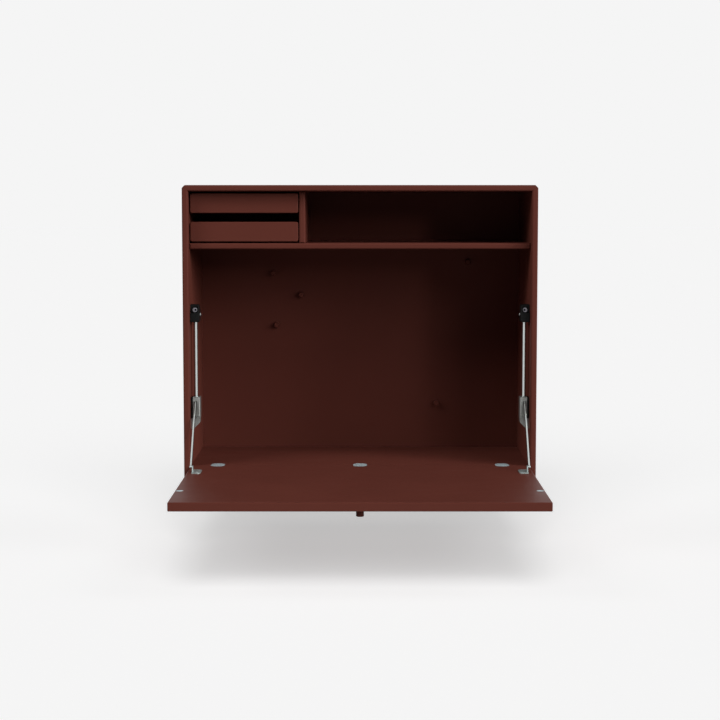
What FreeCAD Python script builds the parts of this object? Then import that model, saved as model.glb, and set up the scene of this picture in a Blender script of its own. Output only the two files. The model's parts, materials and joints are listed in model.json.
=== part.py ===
import FreeCAD, Part
import os
import re
import Sketcher

# Fold down wall desk, in millimetres.
#
# The origin lies on the wall, midway between the two screw holes of the wall rail.
# +X points to the right of a person who faces the desk, -Y out of the wall towards
# that person, and +Z up. The flap is open and level.
#
# A formula is a text in the aliases of the sheet below, where a size that follows from
# others starts with an equals sign. Heights of the case's fittings are given above the
# underside of the case, and setbacks behind its front.

# ---------------------------------------------------------------- driving dimensions

SIZES = [
    # alias, millimetres, what it is
    ("case_width", 696, "outside width of the case"),
    ("case_height", 582, "outside height of the case"),
    ("case_depth", 300, "depth of the case from the wall to its front"),
    ("board", 12, "thickness of the case boards, the shelf and the divider"),
    ("corner_cut", 6, "leg of the bevel along the four outer corners"),
    ("edge_round", 3.4, "rounding of the front edges"),
    ("back_board", 8, "thickness of the back board"),
    ("back_recess", 10, "space for the rail behind the back board"),
    ("back_groove", 4, "depth of the grooves that hold the back board"),
    ("inset", 22, "setback of the shelf, divider, trays and desk board"),
    ("shelf_drop", 125.5, "underside of the shelf below the top of the case"),
    ("shelf_height", "=case_height - shelf_drop", "underside of the shelf"),
    ("tray_bay", 216.2, "width of the bay of the trays, left of the divider"),
    ("dowel_diameter", 6, "dowels of the shelf and the divider"),
    ("dowel_deep", 12, "depth of a dowel in an end of the shelf or the divider"),
    ("dowel_shallow", 7, "depth of a dowel in the face that it meets"),
    ("dowel_margin", 40, "dowels from the back and the front of the shelf"),
    # wall fixing
    ("rail_level", 47, "wall screws below the top of the case"),
    ("rail_height", "=case_height - rail_level", "wall screws above the case's underside"),
    ("rail_margin", 48, "ends of the wall rail from the case's sides"),
    ("rail_length", "=case_width - 2 * rail_margin", "length of the wall rail"),
    ("rail_drop", 20, "rail below its screws"),
    ("rail_rise", 16, "top of the rail's plate above its screws"),
    ("rail_lip", 10, "height of the rail's lip above its plate"),
    ("rail_sheet", 2, "thickness of the rail and the hanging brackets"),
    ("rail_reach", 6.5, "front of the rail's lip in front of the wall"),
    ("rail_play", 0.3, "play between the rail's lip and the hook"),
    ("rail_hole", 6.5, "diameter of the wall screw holes"),
    ("rail_hole_margin", 60, "wall screw holes from the ends of the rail"),
    ("rail_hole_spacing", "=rail_length - 2 * rail_hole_margin", "between the two wall screw holes"),
    ("bracket_spread", "=rail_length / 4", "hanging brackets from the desk's middle"),
    ("bracket_span", 60, "width of a hanging bracket"),
    ("bracket_drop", 18, "hanging bracket below the wall screws"),
    ("hook_length", 8, "length of the bracket's hook behind the lip"),
    ("back_screw_pitch", 36, "distance between the two screws of a hanging bracket"),
    ("back_screw_length", 6, "thread of a hanging bracket's screw"),
    # pegs on the back board
    ("peg_diameter", 12, "diameter of a peg"),
    ("peg_length", 15, "length of a peg in front of the back board"),
    ("peg_tenon", 6, "diameter of a peg's tenon"),
    ("peg_tenon_length", 6, "length of a peg's tenon"),
    ("peg_round", 1.5, "rounding of a peg's front edge"),
    # trays
    ("tray_side_gap", 1.8, "gap beside a tray front"),
    ("tray_height", 38.6, "height of a tray front"),
    ("tray_front", 12, "thickness of a tray front"),
    ("tray_corner", 4, "corner radius of a tray front"),
    ("tray_edge", 1.6, "rounding of a tray front's edges"),
    ("lower_tray_rise", 3, "underside of the lower tray front above the shelf"),
    ("upper_tray_rise", 59, "underside of the upper tray front above the shelf"),
    ("pan_gap", 20, "gap between a tray pan and the back board"),
    ("pan_wall", 1.5, "thickness of a tray pan"),
    ("pan_rise", 3, "underside of a pan above the underside of its front"),
    ("pan_rim_drop", 3, "rim of a pan below the top of its front"),
    ("rim_play", 0.8, "play between a rim and the wall beside it"),
    ("runner_width", 5, "width of a tray runner"),
    ("runner_height", 7, "height of a tray runner"),
    ("runner_play", 0.3, "play between a rim and its runner"),
    ("tray_screw_margin", 30, "tray screws from the sides of a pan"),
    ("tray_screw_length", 8, "thread of a tray screw in its front"),
    # flap and its hinges
    ("flap_thickness", 16, "thickness of the flap"),
    ("flap_lap", 5.3, "lap of the closed flap over the edge of the shelf"),
    ("flap_lift", 0.3, "gap between the flap and the bottom board"),
    ("flap_side_gap", 1.5, "gap between the flap and a side board"),
    ("flap_round", 1.5, "rounding of the flap's edges"),
    ("seam_gap", 1, "gap between the flap and the desk board"),
    ("closing_gap", 0.5, "gap between the closed flap and the shelf"),
    ("pivot_depth", 2, "hinge axis below the desk surface"),
    ("hinge_margin", 53.5, "outer hinges from the side boards"),
    ("cup_diameter", 28, "diameter of a hinge cup"),
    ("cup_offset", 6, "middle of a hinge cup from the edge of its board"),
    ("cup_depth", 11, "depth of a hinge cup"),
    ("hinge_pin", 2.5, "diameter of a hinge pin"),
    ("knuckle_half", 5, "half width of a hinge's middle knuckle and its play"),
    ("knuckle_end", 10, "outer end of a hinge's knuckles"),
    ("knuckle_play", 0.3, "play between the knuckles"),
    ("running_play", 0.05, "radial play of a pin or rod in its hole"),
    ("knob_diameter", 14, "diameter of the knob"),
    ("knob_length", 16, "length of the knob"),
    ("knob_round", 1, "rounding of the knob's end"),
    ("knob_margin", 42, "knob from the front edge of the flap"),
    ("stud_diameter", 4, "diameter of the knob's stud"),
    ("stud_length", 10, "length of the stud in the flap and in the knob"),
    ("strike_diameter", 14, "diameter of a strike disc"),
    ("strike_depth", 2, "depth of a strike disc in the flap"),
    ("strike_proud", 0.1, "strike disc above the flap"),
    # flap stays
    ("foot_bottom", 98.5, "underside of a stay's foot above the case's underside"),
    ("stay_length", 248.5, "stay from the underside of its foot to the top of its head"),
    ("head_top", "=foot_bottom + stay_length", "top of a stay's head"),
    ("rod_offset", 9.4, "guide rod from the side board"),
    ("rod_diameter", 8, "diameter of a guide rod"),
    ("rod_setback", 41, "guide rod behind the front"),
    ("rod_grip", 10, "length of the guide rod held in the head"),
    ("head_width", 18.5, "width of a stay's head"),
    ("head_height", 34.5, "height of a stay's head"),
    ("head_depth", 30, "depth of a stay's head"),
    ("head_bottom", "=head_top - head_height", "underside of a stay's head"),
    ("head_bevel", 3, "bevels of a stay's head"),
    ("head_screw_drop", 20, "screw of a stay's head below its top"),
    ("magnet_offset", 10.3, "catch magnet and strike disc from the side board"),
    ("magnet_drop", 9.4, "middle of a catch magnet below the top of its head"),
    ("magnet_height", "=head_top - magnet_drop", "middle of a catch magnet"),
    ("magnet_diameter", 12.8, "diameter of a catch magnet"),
    ("magnet_bore", 4.5, "diameter of the hollow in a catch magnet"),
    ("magnet_bore_depth", 4, "depth of the hollow in a catch magnet"),
    ("magnet_depth", 8, "depth of a catch magnet in its head"),
    ("magnet_proud", 0.1, "catch magnet in front of its head"),
    ("foot_height", 22.5, "height of a stay's foot"),
    ("foot_depth", 23, "depth of a stay's foot"),
    ("foot_setback", 35, "front of a stay's foot behind the front"),
    ("foot_bevel", 12, "bevel under a stay's foot"),
    ("foot_floor", 4, "thickness below the guide rod in the foot"),
    ("foot_screw_setback", 53, "screw of a stay's foot behind the front"),
    ("glide", 4, "space for the glide between the slider and the side board"),
    ("glide_play", 0.8, "play between the glide and the side board"),
    ("slider_width", 14.4, "width of a slider"),
    ("slider_height", 42, "height of a slider"),
    ("slider_depth", 26, "depth of a slider"),
    ("slider_setback", 24, "front of a slider behind the front"),
    ("slider_play", 0.3, "slider above the foot"),
    ("slot_width", 5.8, "width of the slot for the arm"),
    ("slot_depth", 8.5, "depth of the slot for the arm"),
    ("arm_offset", 8.7, "middle of an arm from the side board"),
    ("arm_diameter", 4.4, "diameter of an arm"),
    ("eye_diameter", 6, "diameter of an arm's eyes"),
    ("eye_thickness", 4.6, "thickness of an arm's eyes"),
    ("arm_pin", 2.5, "diameter of an arm's pins"),
    ("arm_pin_head", 4.6, "diameter of the pins' heads"),
    ("arm_pin_cap", 0.3, "thickness of the pins' heads"),
    ("arm_rise", 34.7, "arm's pivot above the underside of its slider"),
    ("arm_setback", 28, "arm's pivot on the slider behind the front"),
    ("pin_reach", 92, "arm's pivot on the flap in front of the desk board"),
    ("pin_rise", 9.7, "arm's pivot above the flap"),
    ("ear_play", 0.4, "play between an arm's eye and what it turns beside"),
    ("flap_bracket_length", 44, "length of a flap bracket"),
    ("flap_bracket_width", 17.5, "width of a flap bracket"),
    ("flap_bracket_sheet", 1.6, "thickness of a flap bracket"),
    ("ear_foot", 20, "length of the ear at its foot"),
    # screws
    ("screw_diameter", 3.5, "thread diameter of all the screws"),
    ("screw_head", 6.4, "head diameter of all the screws"),
    ("screw_head_height", 1.6, "head height of all the screws"),
    ("screw_socket", 2.9, "diameter over the corners of the hexagon socket"),
    ("screw_socket_depth", 1, "depth of the hexagon socket"),
    ("stay_screw_bite", 9, "length of a stay's screw in the side board"),
    ("flap_screw_pitch", 28, "distance between the two screws of a flap bracket"),
    ("flap_screw_bite", 11, "length of a flap bracket's screw in the flap"),
]
# Each peg as shares of half the inside width and of the height from the desk to the shelf.
PEGS = [(-0.55, 0.8681), (-0.3717, 0.7606), (-0.5262, 0.6112), (0.4854, 0.2212), (0.6798, 0.9241)]

doc = FreeCAD.newDocument("wall_desk")
sheet = doc.addObject("Spreadsheet::Sheet", "sizes")
for row, (alias, value, note) in enumerate(SIZES, start=1):
    sheet.set(f"A{row}", alias)
    sheet.set(f"B{row}", str(value))
    sheet.set(f"C{row}", note)
    sheet.setAlias(f"B{row}", alias)
doc.recompute()

ALIASES = {alias for alias, value, note in SIZES}

# ---------------------------------------------------------------- shared formulas

INNER_HALF = "(case_width / 2 - board)"
CASE_BOTTOM = "(-rail_height)"
CASE_TOP = "(case_height - rail_height)"
FLOOR_TOP = "(board - rail_height)"
CEILING = "(case_height - board - rail_height)"
BACK_REAR = "(-back_recess)"
BACK_FACE = "(-back_recess - back_board)"
INSET_FACE = "(inset - case_depth)"
BAY_DEPTH = "(case_depth - inset - back_recess - back_board)"
SHELF_BOTTOM = "(shelf_height - rail_height)"
SHELF_TOP = "(shelf_height + board - rail_height)"
SHELF_MIDDLE = "(shelf_height + board / 2 - rail_height)"
DIVIDER_LEFT = "(tray_bay + board - case_width / 2)"
DIVIDER_MIDDLE = f"({DIVIDER_LEFT} + board / 2)"
DIVIDER_RIGHT = f"({DIVIDER_LEFT} + board)"
DOWEL_ROWS = ["(-back_recess - back_board - dowel_margin)", "(inset - case_depth + dowel_margin)"]
DESK_TOP = "(board + flap_lift + flap_thickness - rail_height)"
FLAP_BOTTOM = "(board + flap_lift - rail_height)"
FLAP_REAR = "(inset - case_depth - seam_gap)"
FLAP_HALF = "(case_width / 2 - board - flap_side_gap)"
AXIS_Y = "(inset - case_depth - closing_gap - pivot_depth)"
AXIS_Z = "(board + flap_lift + flap_thickness - pivot_depth - rail_height)"
# The front edge of the flap laps over the shelf when the flap has turned up about the hinge axis.
FLAP_FRONT = f"({AXIS_Y} + {AXIS_Z} - {SHELF_BOTTOM} - flap_lap)"
FLAP_LENGTH = f"({FLAP_REAR} - {FLAP_FRONT})"
HINGES = {"left": f"(hinge_margin - {INNER_HALF})", "centre": "0", "right": f"({INNER_HALF} - hinge_margin)"}
SIDES = {"left": -1, "right": 1}

ROD_X = "(case_width / 2 - board - rod_offset)"
MAGNET_X = "(case_width / 2 - board - magnet_offset)"
ROD_Y = "(rod_setback - case_depth)"
ARM_X = "(case_width / 2 - board - arm_offset)"
SLIDER_PIVOT_Y = "(arm_setback - case_depth)"
SLIDER_LOW = "(foot_bottom + foot_height + slider_play - rail_height)"
SLIDER_PIVOT_Z = f"({SLIDER_LOW} + arm_rise)"
FLAP_PIVOT_Y = "(inset - case_depth - pin_reach)"
FLAP_PIVOT_Z = f"({DESK_TOP} + pin_rise)"
EAR_OUTER = "(case_width / 2 - board - arm_offset - eye_thickness / 2 - ear_play)"
BRACKET_INNER = f"({EAR_OUTER} - flap_bracket_width)"
BRACKET_SCREW_X = f"({EAR_OUTER} - flap_bracket_sheet - flap_bracket_width / 2)"
STAY_SCREWS = [
    (ROD_Y, "(head_top - head_screw_drop - rail_height)"),
    ("(foot_screw_setback - case_depth)", "(foot_bottom + foot_height / 2 - rail_height)"),
]
FLAP_SCREW_ROWS = [f"({FLAP_PIVOT_Y} + flap_screw_pitch / 2)", f"({FLAP_PIVOT_Y} - flap_screw_pitch / 2)"]
# The strike disc meets the magnet when the flap has turned up about the hinge axis.
STRIKE_Y = f"({AXIS_Y} + {AXIS_Z} - magnet_height + rail_height)"

# ---------------------------------------------------------------- helpers

kept_parts = []


def formula(text):
    """Turn a text in aliases into an expression on the sheet."""
    return re.sub(r"[a-z_]+", lambda word: f"sizes.{word[0]}" if word[0] in ALIASES else word[0], text)


def mirrored(side, text):
    """Give a formula for X on the right side, or its mirror image on the left side."""
    return text if side > 0 else f"(-{text})"


def keep(part, label):
    """Make an object a sub-part under its label."""
    part.Label = label
    kept_parts.append(part)
    return part


def set_place(item, x_text, y_text, z_text, rotation=None):
    """Bind an object's position to formulas, with a fixed rotation."""
    if rotation is not None:
        item.Placement = FreeCAD.Placement(FreeCAD.Vector(), rotation)
    item.setExpression("Placement.Base.x", formula(x_text))
    item.setExpression("Placement.Base.y", formula(y_text))
    item.setExpression("Placement.Base.z", formula(z_text))


TOWARDS = {
    "+X": FreeCAD.Rotation(FreeCAD.Vector(0, 1, 0), 90),
    "-X": FreeCAD.Rotation(FreeCAD.Vector(0, 1, 0), -90),
    "+Y": FreeCAD.Rotation(FreeCAD.Vector(1, 0, 0), -90),
    "-Y": FreeCAD.Rotation(FreeCAD.Vector(1, 0, 0), 90),
    "+Z": FreeCAD.Rotation(),
    "-Z": FreeCAD.Rotation(FreeCAD.Vector(1, 0, 0), 180),
}


def box(name, x_span, y_span, z_span):
    """Add a box from the low corner and the size along each axis."""
    item = doc.addObject("Part::Box", name)
    item.setExpression("Length", formula(x_span[1]))
    item.setExpression("Width", formula(y_span[1]))
    item.setExpression("Height", formula(z_span[1]))
    set_place(item, x_span[0], y_span[0], z_span[0])
    return item


def side_box(name, side, x_span, y_span, z_span):
    """Add a box whose X span is given for the right side, mirrored for the left."""
    low = x_span[0] if side > 0 else f"(-{x_span[0]} - {x_span[1]})"
    return box(name, (low, x_span[1]), y_span, z_span)


def cylinder(name, towards, start, diameter, length):
    """Add a cylinder that starts at a point and runs towards a direction."""
    item = doc.addObject("Part::Cylinder", name)
    item.setExpression("Radius", formula(f"({diameter}) / 2"))
    item.setExpression("Height", formula(length))
    set_place(item, *start, rotation=TOWARDS[towards])
    return item


def fuse(name, *items):
    """Fuse solids into one."""
    item = doc.addObject("Part::MultiFuse", name)
    item.Shapes = list(items)
    return item


def cut(name, base, *tools):
    """Cut solids out of a base."""
    tool = tools[0] if len(tools) == 1 else fuse(f"{name}_tools", *tools)
    item = doc.addObject("Part::Cut", name)
    item.Base = base
    item.Tool = tool
    return item


def group(name, items):
    """Hold separate solids as one sub-part."""
    item = doc.addObject("Part::Compound", name)
    item.Links = list(items)
    return item


def new_body(name):
    """Add an empty PartDesign body."""
    return doc.addObject("PartDesign::Body", name)


def new_sketch(body, name, plane, offset="0"):
    """Add a sketch on one of the body's origin planes, moved along the plane's normal."""
    sketch = body.newObject("Sketcher::SketchObject", name)
    support = next(item for item in body.Origin.OriginFeatures if item.Role == plane)
    sketch.AttachmentSupport = (support, [""])
    sketch.MapMode = "FlatFace"
    sketch.setExpression("AttachmentOffset.Base.z", formula(offset))
    return sketch


def pin_point(sketch, geometry, point, across, upward):
    """Hold a sketch point at two formulas measured from the sketch's origin."""
    for kind, text in (("DistanceX", across), ("DistanceY", upward)):
        index = sketch.addConstraint(Sketcher.Constraint(kind, -1, 1, geometry, point, 1.0))
        sketch.setExpression(f"Constraints[{index}]", formula(text))


def outline(body, name, plane, corners, offset="0"):
    """Sketch a closed outline through corners, each a pair of formulas."""
    sketch = new_sketch(body, name, plane, offset)
    count = len(corners)
    turn = FreeCAD.Rotation(FreeCAD.Vector(0, 0, 1), 360 / count)
    starts = [FreeCAD.Vector(1, 0, 0)]
    for index in range(count - 1):
        starts.append(turn.multVec(starts[-1]))
    for index, start in enumerate(starts):
        sketch.addGeometry(Part.LineSegment(start, starts[(index + 1) % count]))
    for index in range(count):
        sketch.addConstraint(Sketcher.Constraint("Coincident", index, 2, (index + 1) % count, 1))
    for index, (across, upward) in enumerate(corners):
        pin_point(sketch, index, 1, across, upward)
    return sketch


def rectangle(body, name, plane, low, high, offset="0"):
    """Sketch a rectangle from its low and high corners."""
    corners = [low, (high[0], low[1]), high, (low[0], high[1])]
    return outline(body, name, plane, corners, offset)


def circles(body, name, plane, centres, diameter, offset="0"):
    """Sketch equal circles."""
    sketch = new_sketch(body, name, plane, offset)
    for index, (across, upward) in enumerate(centres):
        start = FreeCAD.Vector(3 * index, 0, 0)
        sketch.addGeometry(Part.Circle(start, FreeCAD.Vector(0, 0, 1), 1))
        pin_point(sketch, index, 3, across, upward)
        radius = sketch.addConstraint(Sketcher.Constraint("Radius", index, 1.0))
        sketch.setExpression(f"Constraints[{radius}]", formula(f"({diameter}) / 2"))
    return sketch


def pad(body, sketch, length, midplane=False):
    """Pad a sketch along its plane's normal, or to both sides of it."""
    feature = body.newObject("PartDesign::Pad", f"{sketch.Name}_pad")
    feature.Profile = sketch
    feature.Midplane = midplane
    feature.setExpression("Length", formula(length))
    return feature


def pocket(body, sketch, depth):
    """Cut a sketch to a depth on both sides of its plane, and check that it cuts."""
    doc.recompute()
    before = body.Shape.Volume
    feature = body.newObject("PartDesign::Pocket", f"{sketch.Name}_pocket")
    feature.Profile = sketch
    feature.Midplane = True
    feature.setExpression("Length", formula(f"2 * ({depth})"))
    doc.recompute()
    if body.Shape.Volume >= before:
        raise RuntimeError(f"{feature.Name} cuts nothing")
    return feature


def round_edges(body, size, wanted):
    """Round the edges of the body that a test picks by their bounding boxes."""
    doc.recompute()
    tip = body.Tip
    names = [
        f"Edge{index}"
        for index, edge in enumerate(tip.Shape.Edges, start=1)
        if wanted(edge.BoundBox)
    ]
    feature = body.newObject("PartDesign::Fillet", f"{body.Name}_round{len(body.Group)}")
    feature.Base = (tip, names)
    feature.setExpression("Radius", formula(size))
    return feature


def near(first, second):
    """Tell whether two lengths are the same."""
    return abs(first - second) < 0.001


def screw(name, towards, seat, length):
    """Add a screw whose head faces a direction, with its seat at a point."""
    away = {"+": "-", "-": "+"}[towards[0]] + towards[1]
    head = cylinder(f"{name}_head", towards, seat, "screw_head", "screw_head_height")
    shank = cylinder(f"{name}_shank", away, seat, "screw_diameter", length)
    socket = doc.addObject("Part::Prism", f"{name}_socket")
    socket.Polygon = 6
    socket.setExpression("Circumradius", formula("screw_socket / 2"))
    socket.setExpression("Height", formula("screw_head_height"))
    step = f"{towards[0]} (screw_head_height - screw_socket_depth)"
    moved = [f"{text} {step}" if axis == towards[1] else text for axis, text in zip("XYZ", seat)]
    set_place(socket, *moved, rotation=TOWARDS[towards])
    return cut(name, fuse(f"{name}_blank", head, shank), socket)


# ---------------------------------------------------------------- case boards


def mitred_corners(side):
    """Give the outline of a side board, mitred at both ends and bevelled outside."""
    outer = "(case_width / 2)"
    bevel = "(case_width / 2 - corner_cut / 2)"
    corners = [
        (outer, "(corner_cut - rail_height)"),
        (bevel, "(corner_cut / 2 - rail_height)"),
        (INNER_HALF, FLOOR_TOP),
        (INNER_HALF, CEILING),
        (bevel, "(case_height - corner_cut / 2 - rail_height)"),
        (outer, "(case_height - corner_cut - rail_height)"),
    ]
    return [(mirrored(side, across), upward) for across, upward in corners]


def front_edges(body):
    """Round the edges that run along a board's front, except those of its mitres."""
    front = body.Tip.Shape.BoundBox.YMin

    def along_front(bounds):
        level = near(bounds.ZLength, 0)
        upright = near(bounds.XLength, 0)
        return near(bounds.YMin, front) and near(bounds.YMax, front) and (level or upright)

    round_edges(body, "edge_round", along_front)


def side_board(name, side):
    """Make a side board with its back groove, dowel holes and stay screw holes."""
    body = new_body(f"{name}_side_panel")
    sketch = outline(body, f"{name}_side_outline", "XZ_Plane", mitred_corners(side))
    pad(body, sketch, "case_depth")
    doc.recompute()
    front_edges(body)
    groove_side = f"({INNER_HALF} + back_groove)"
    spans = [mirrored(side, f"({INNER_HALF} - board)"), mirrored(side, groove_side)]
    groove = rectangle(body, f"{name}_side_groove", "XY_Plane", (spans[0], BACK_FACE), (spans[1], BACK_REAR))
    pocket(body, groove, "case_height + rail_height")
    inner_face = mirrored(side, INNER_HALF)
    dowel_centres = [(row, SHELF_MIDDLE) for row in DOWEL_ROWS]
    holes = circles(body, f"{name}_side_dowels", "YZ_Plane", dowel_centres, "dowel_diameter", inner_face)
    pocket(body, holes, "dowel_shallow")
    screws = circles(body, f"{name}_side_screws", "YZ_Plane", STAY_SCREWS, "screw_diameter", inner_face)
    pocket(body, screws, "stay_screw_bite")
    return keep(body, body.Name)


def level_corners(inner_z, bevel_z, outer_z):
    """Give the outline of the top or bottom board, mitred and bevelled like the sides."""
    bevel = "(case_width / 2 - corner_cut / 2)"
    outer = "(case_width / 2 - corner_cut)"
    right = [(INNER_HALF, inner_z), (bevel, bevel_z), (outer, outer_z)]
    left = [(f"(-{across})", upward) for across, upward in reversed(right)]
    return right + left


def level_board(name, inner_z, bevel_z, outer_z, groove_low, groove_high):
    """Make the top or bottom board with its back groove."""
    body = new_body(name)
    sketch = outline(body, f"{name}_outline", "XZ_Plane", level_corners(inner_z, bevel_z, outer_z))
    pad(body, sketch, "case_depth")
    doc.recompute()
    front_edges(body)
    groove = rectangle(body, f"{name}_groove", "YZ_Plane", (BACK_FACE, groove_low), (BACK_REAR, groove_high))
    pocket(body, groove, "case_width")
    return body


def slab(name, x_low, x_high, z_low, z_high, rear, length):
    """Make a board between two X and two Z formulas, forward from its rear."""
    body = new_body(name)
    sketch = rectangle(body, f"{name}_outline", "XZ_Plane", (x_low, z_low), (x_high, z_high), f"-{rear}")
    pad(body, sketch, length)
    doc.recompute()
    return body


for name, side in SIDES.items():
    side_board(name, side)

bottom_panel = level_board(
    "bottom_panel",
    FLOOR_TOP, "(corner_cut / 2 - rail_height)", CASE_BOTTOM,
    f"({FLOOR_TOP} - back_groove)", f"({FLOOR_TOP} + board)",
)
keep(bottom_panel, "bottom_panel")

top_panel = level_board(
    "top_panel",
    CEILING, "(case_height - corner_cut / 2 - rail_height)", CASE_TOP,
    f"({CEILING} - board)", f"({CEILING} + back_groove)",
)
divider_dowels_at = [(DIVIDER_MIDDLE, row) for row in DOWEL_ROWS]
pocket(top_panel, circles(top_panel, "top_dowels", "XY_Plane", divider_dowels_at, "dowel_diameter", CEILING),
       "dowel_shallow")
keep(top_panel, "top_panel")

back_half = f"({INNER_HALF} + back_groove)"
back_panel = slab(
    "back_panel", f"(-{back_half})", back_half,
    f"({FLOOR_TOP} - back_groove)", f"({CEILING} + back_groove)",
    BACK_REAR, "back_board",
)
peg_centres = [
    (f"({across} * {INNER_HALF})", f"({DESK_TOP} + {upward} * ({SHELF_BOTTOM} - {DESK_TOP}))")
    for across, upward in PEGS
]
pocket(back_panel, circles(back_panel, "back_peg_holes", "XZ_Plane", peg_centres, "peg_tenon", f"-{BACK_FACE}"),
       "peg_tenon_length")
BACK_SCREWS = [
    (f"({side} * bracket_spread + {step} * back_screw_pitch / 2)", "(-bracket_drop / 2)")
    for side in SIDES.values()
    for step in (-1, 1)
]
pocket(back_panel, circles(back_panel, "back_screw_holes", "XZ_Plane", BACK_SCREWS, "screw_diameter",
                           f"-{BACK_REAR}"), "back_screw_length")
keep(back_panel, "back_panel")

shelf = slab("shelf", f"(-{INNER_HALF})", INNER_HALF, SHELF_BOTTOM, SHELF_TOP, BACK_FACE, BAY_DEPTH)
front_edges(shelf)
for name, side in SIDES.items():
    ends = circles(shelf, f"shelf_{name}_dowels", "YZ_Plane", [(row, SHELF_MIDDLE) for row in DOWEL_ROWS],
                   "dowel_diameter", mirrored(side, INNER_HALF))
    pocket(shelf, ends, "dowel_deep")
pocket(shelf, circles(shelf, "shelf_divider_dowels", "XY_Plane", divider_dowels_at, "dowel_diameter", SHELF_TOP),
       "dowel_shallow")
keep(shelf, "shelf")

divider = slab("divider", DIVIDER_LEFT, DIVIDER_RIGHT, SHELF_TOP, CEILING, BACK_FACE, BAY_DEPTH)
front_edges(divider)
for name, level in (("bottom", SHELF_TOP), ("top", CEILING)):
    holes = circles(divider, f"divider_{name}_dowels", "XY_Plane", divider_dowels_at, "dowel_diameter", level)
    pocket(divider, holes, "dowel_deep")
keep(divider, "divider")

desk_board = slab("desk_board", f"(-{INNER_HALF})", INNER_HALF, FLOOR_TOP, DESK_TOP, BACK_FACE, BAY_DEPTH)
case_cups_at = [(across, f"({INSET_FACE} + cup_offset)") for across in HINGES.values()]
pocket(desk_board, circles(desk_board, "desk_board_cups", "XY_Plane", case_cups_at, "cup_diameter", DESK_TOP),
       "cup_depth")
keep(desk_board, "desk_board")

# ---------------------------------------------------------------- dowels and pegs

DOWEL_LENGTH = "dowel_deep + dowel_shallow"

shelf_dowels = [
    cylinder(f"shelf_dowel_{name}_{number}", "+X" if side > 0 else "-X",
             (mirrored(side, f"({INNER_HALF} - dowel_deep)"), row, SHELF_MIDDLE), "dowel_diameter", DOWEL_LENGTH)
    for name, side in SIDES.items()
    for number, row in enumerate(DOWEL_ROWS, start=1)
]
keep(group("shelf_dowels", shelf_dowels), "shelf_dowels")

divider_dowels = [
    cylinder(f"divider_dowel_{name}_{number}", towards, (DIVIDER_MIDDLE, row, start),
             "dowel_diameter", DOWEL_LENGTH)
    for name, towards, start in (
        ("bottom", "-Z", f"({SHELF_TOP} + dowel_deep)"),
        ("top", "+Z", f"({CEILING} - dowel_deep)"),
    )
    for number, row in enumerate(DOWEL_ROWS, start=1)
]
keep(group("divider_dowels", divider_dowels), "divider_dowels")


def peg(number, centre):
    """Make a round peg with a tenon in the back board."""
    body = new_body(f"peg_{number}")
    plane_offset = f"-{BACK_FACE}"
    pad(body, circles(body, f"peg_{number}_head", "XZ_Plane", [centre], "peg_diameter", plane_offset),
        "peg_length")
    tenon_offset = f"(-{BACK_FACE} - peg_tenon_length)"
    pad(body, circles(body, f"peg_{number}_tenon", "XZ_Plane", [centre], "peg_tenon", tenon_offset),
        "peg_tenon_length")
    doc.recompute()
    front = body.Shape.BoundBox.YMin
    round_edges(body, "peg_round", lambda bounds: near(bounds.YMax, front))
    return body


pegs = [peg(number, centre) for number, centre in enumerate(peg_centres, start=1)]
keep(group("pegs", pegs), "pegs")

# ---------------------------------------------------------------- wall fixing

LIP_REAR = "(rail_sheet - rail_reach)"
LIP_FRONT = "(-rail_reach)"
LIP_TOP = "(rail_rise + rail_lip)"
HOOK_FRONT = f"({LIP_REAR} + rail_play)"
HOOK_REAR = f"({LIP_REAR} + rail_play + rail_sheet)"

wall_rail = new_body("wall_rail")
rail_outline = outline(wall_rail, "wall_rail_outline", "YZ_Plane", [
    ("0", "(-rail_drop)"),
    ("0", "rail_rise"),
    (LIP_REAR, "rail_rise"),
    (LIP_REAR, LIP_TOP),
    (LIP_FRONT, LIP_TOP),
    (LIP_FRONT, "(rail_rise - rail_sheet)"),
    ("(-rail_sheet)", "(rail_rise - rail_sheet)"),
    ("(-rail_sheet)", "(-rail_drop)"),
])
pad(wall_rail, rail_outline, "rail_length", midplane=True)
rail_holes = circles(wall_rail, "wall_rail_holes", "XZ_Plane",
                     [("(-rail_hole_spacing / 2)", "0"), ("(rail_hole_spacing / 2)", "0")], "rail_hole")
pocket(wall_rail, rail_holes, "rail_reach")
keep(wall_rail, "wall_rail")

for name, side in SIDES.items():
    bracket = new_body(f"{name}_hanging_bracket")
    middle = mirrored(side, "bracket_spread")
    hook = outline(bracket, f"{name}_hook_outline", "YZ_Plane", [
        (BACK_REAR, "(-bracket_drop)"),
        (BACK_REAR, f"({LIP_TOP} + rail_sheet)"),
        (HOOK_REAR, f"({LIP_TOP} + rail_sheet)"),
        (HOOK_REAR, f"({LIP_TOP} - hook_length)"),
        (HOOK_FRONT, f"({LIP_TOP} - hook_length)"),
        (HOOK_FRONT, LIP_TOP),
        (f"({BACK_REAR} + rail_sheet)", LIP_TOP),
        (f"({BACK_REAR} + rail_sheet)", "(-bracket_drop)"),
    ], middle)
    pad(bracket, hook, "bracket_span", midplane=True)
    own_screws = [centre for centre in BACK_SCREWS if centre[0].startswith(f"({side} ")]
    holes = circles(bracket, f"{name}_hook_holes", "XZ_Plane", own_screws, "screw_diameter", f"-{BACK_REAR}")
    pocket(bracket, holes, "rail_sheet")
    keep(bracket, bracket.Name)

bracket_screws = [
    screw(f"hanging_screw_{number}", "+Y", (across, f"({BACK_REAR} + rail_sheet)", upward),
          "rail_sheet + back_screw_length")
    for number, (across, upward) in enumerate(BACK_SCREWS, start=1)
]
keep(group("hanging_bracket_screws", bracket_screws), "hanging_bracket_screws")

# ---------------------------------------------------------------- trays

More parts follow.
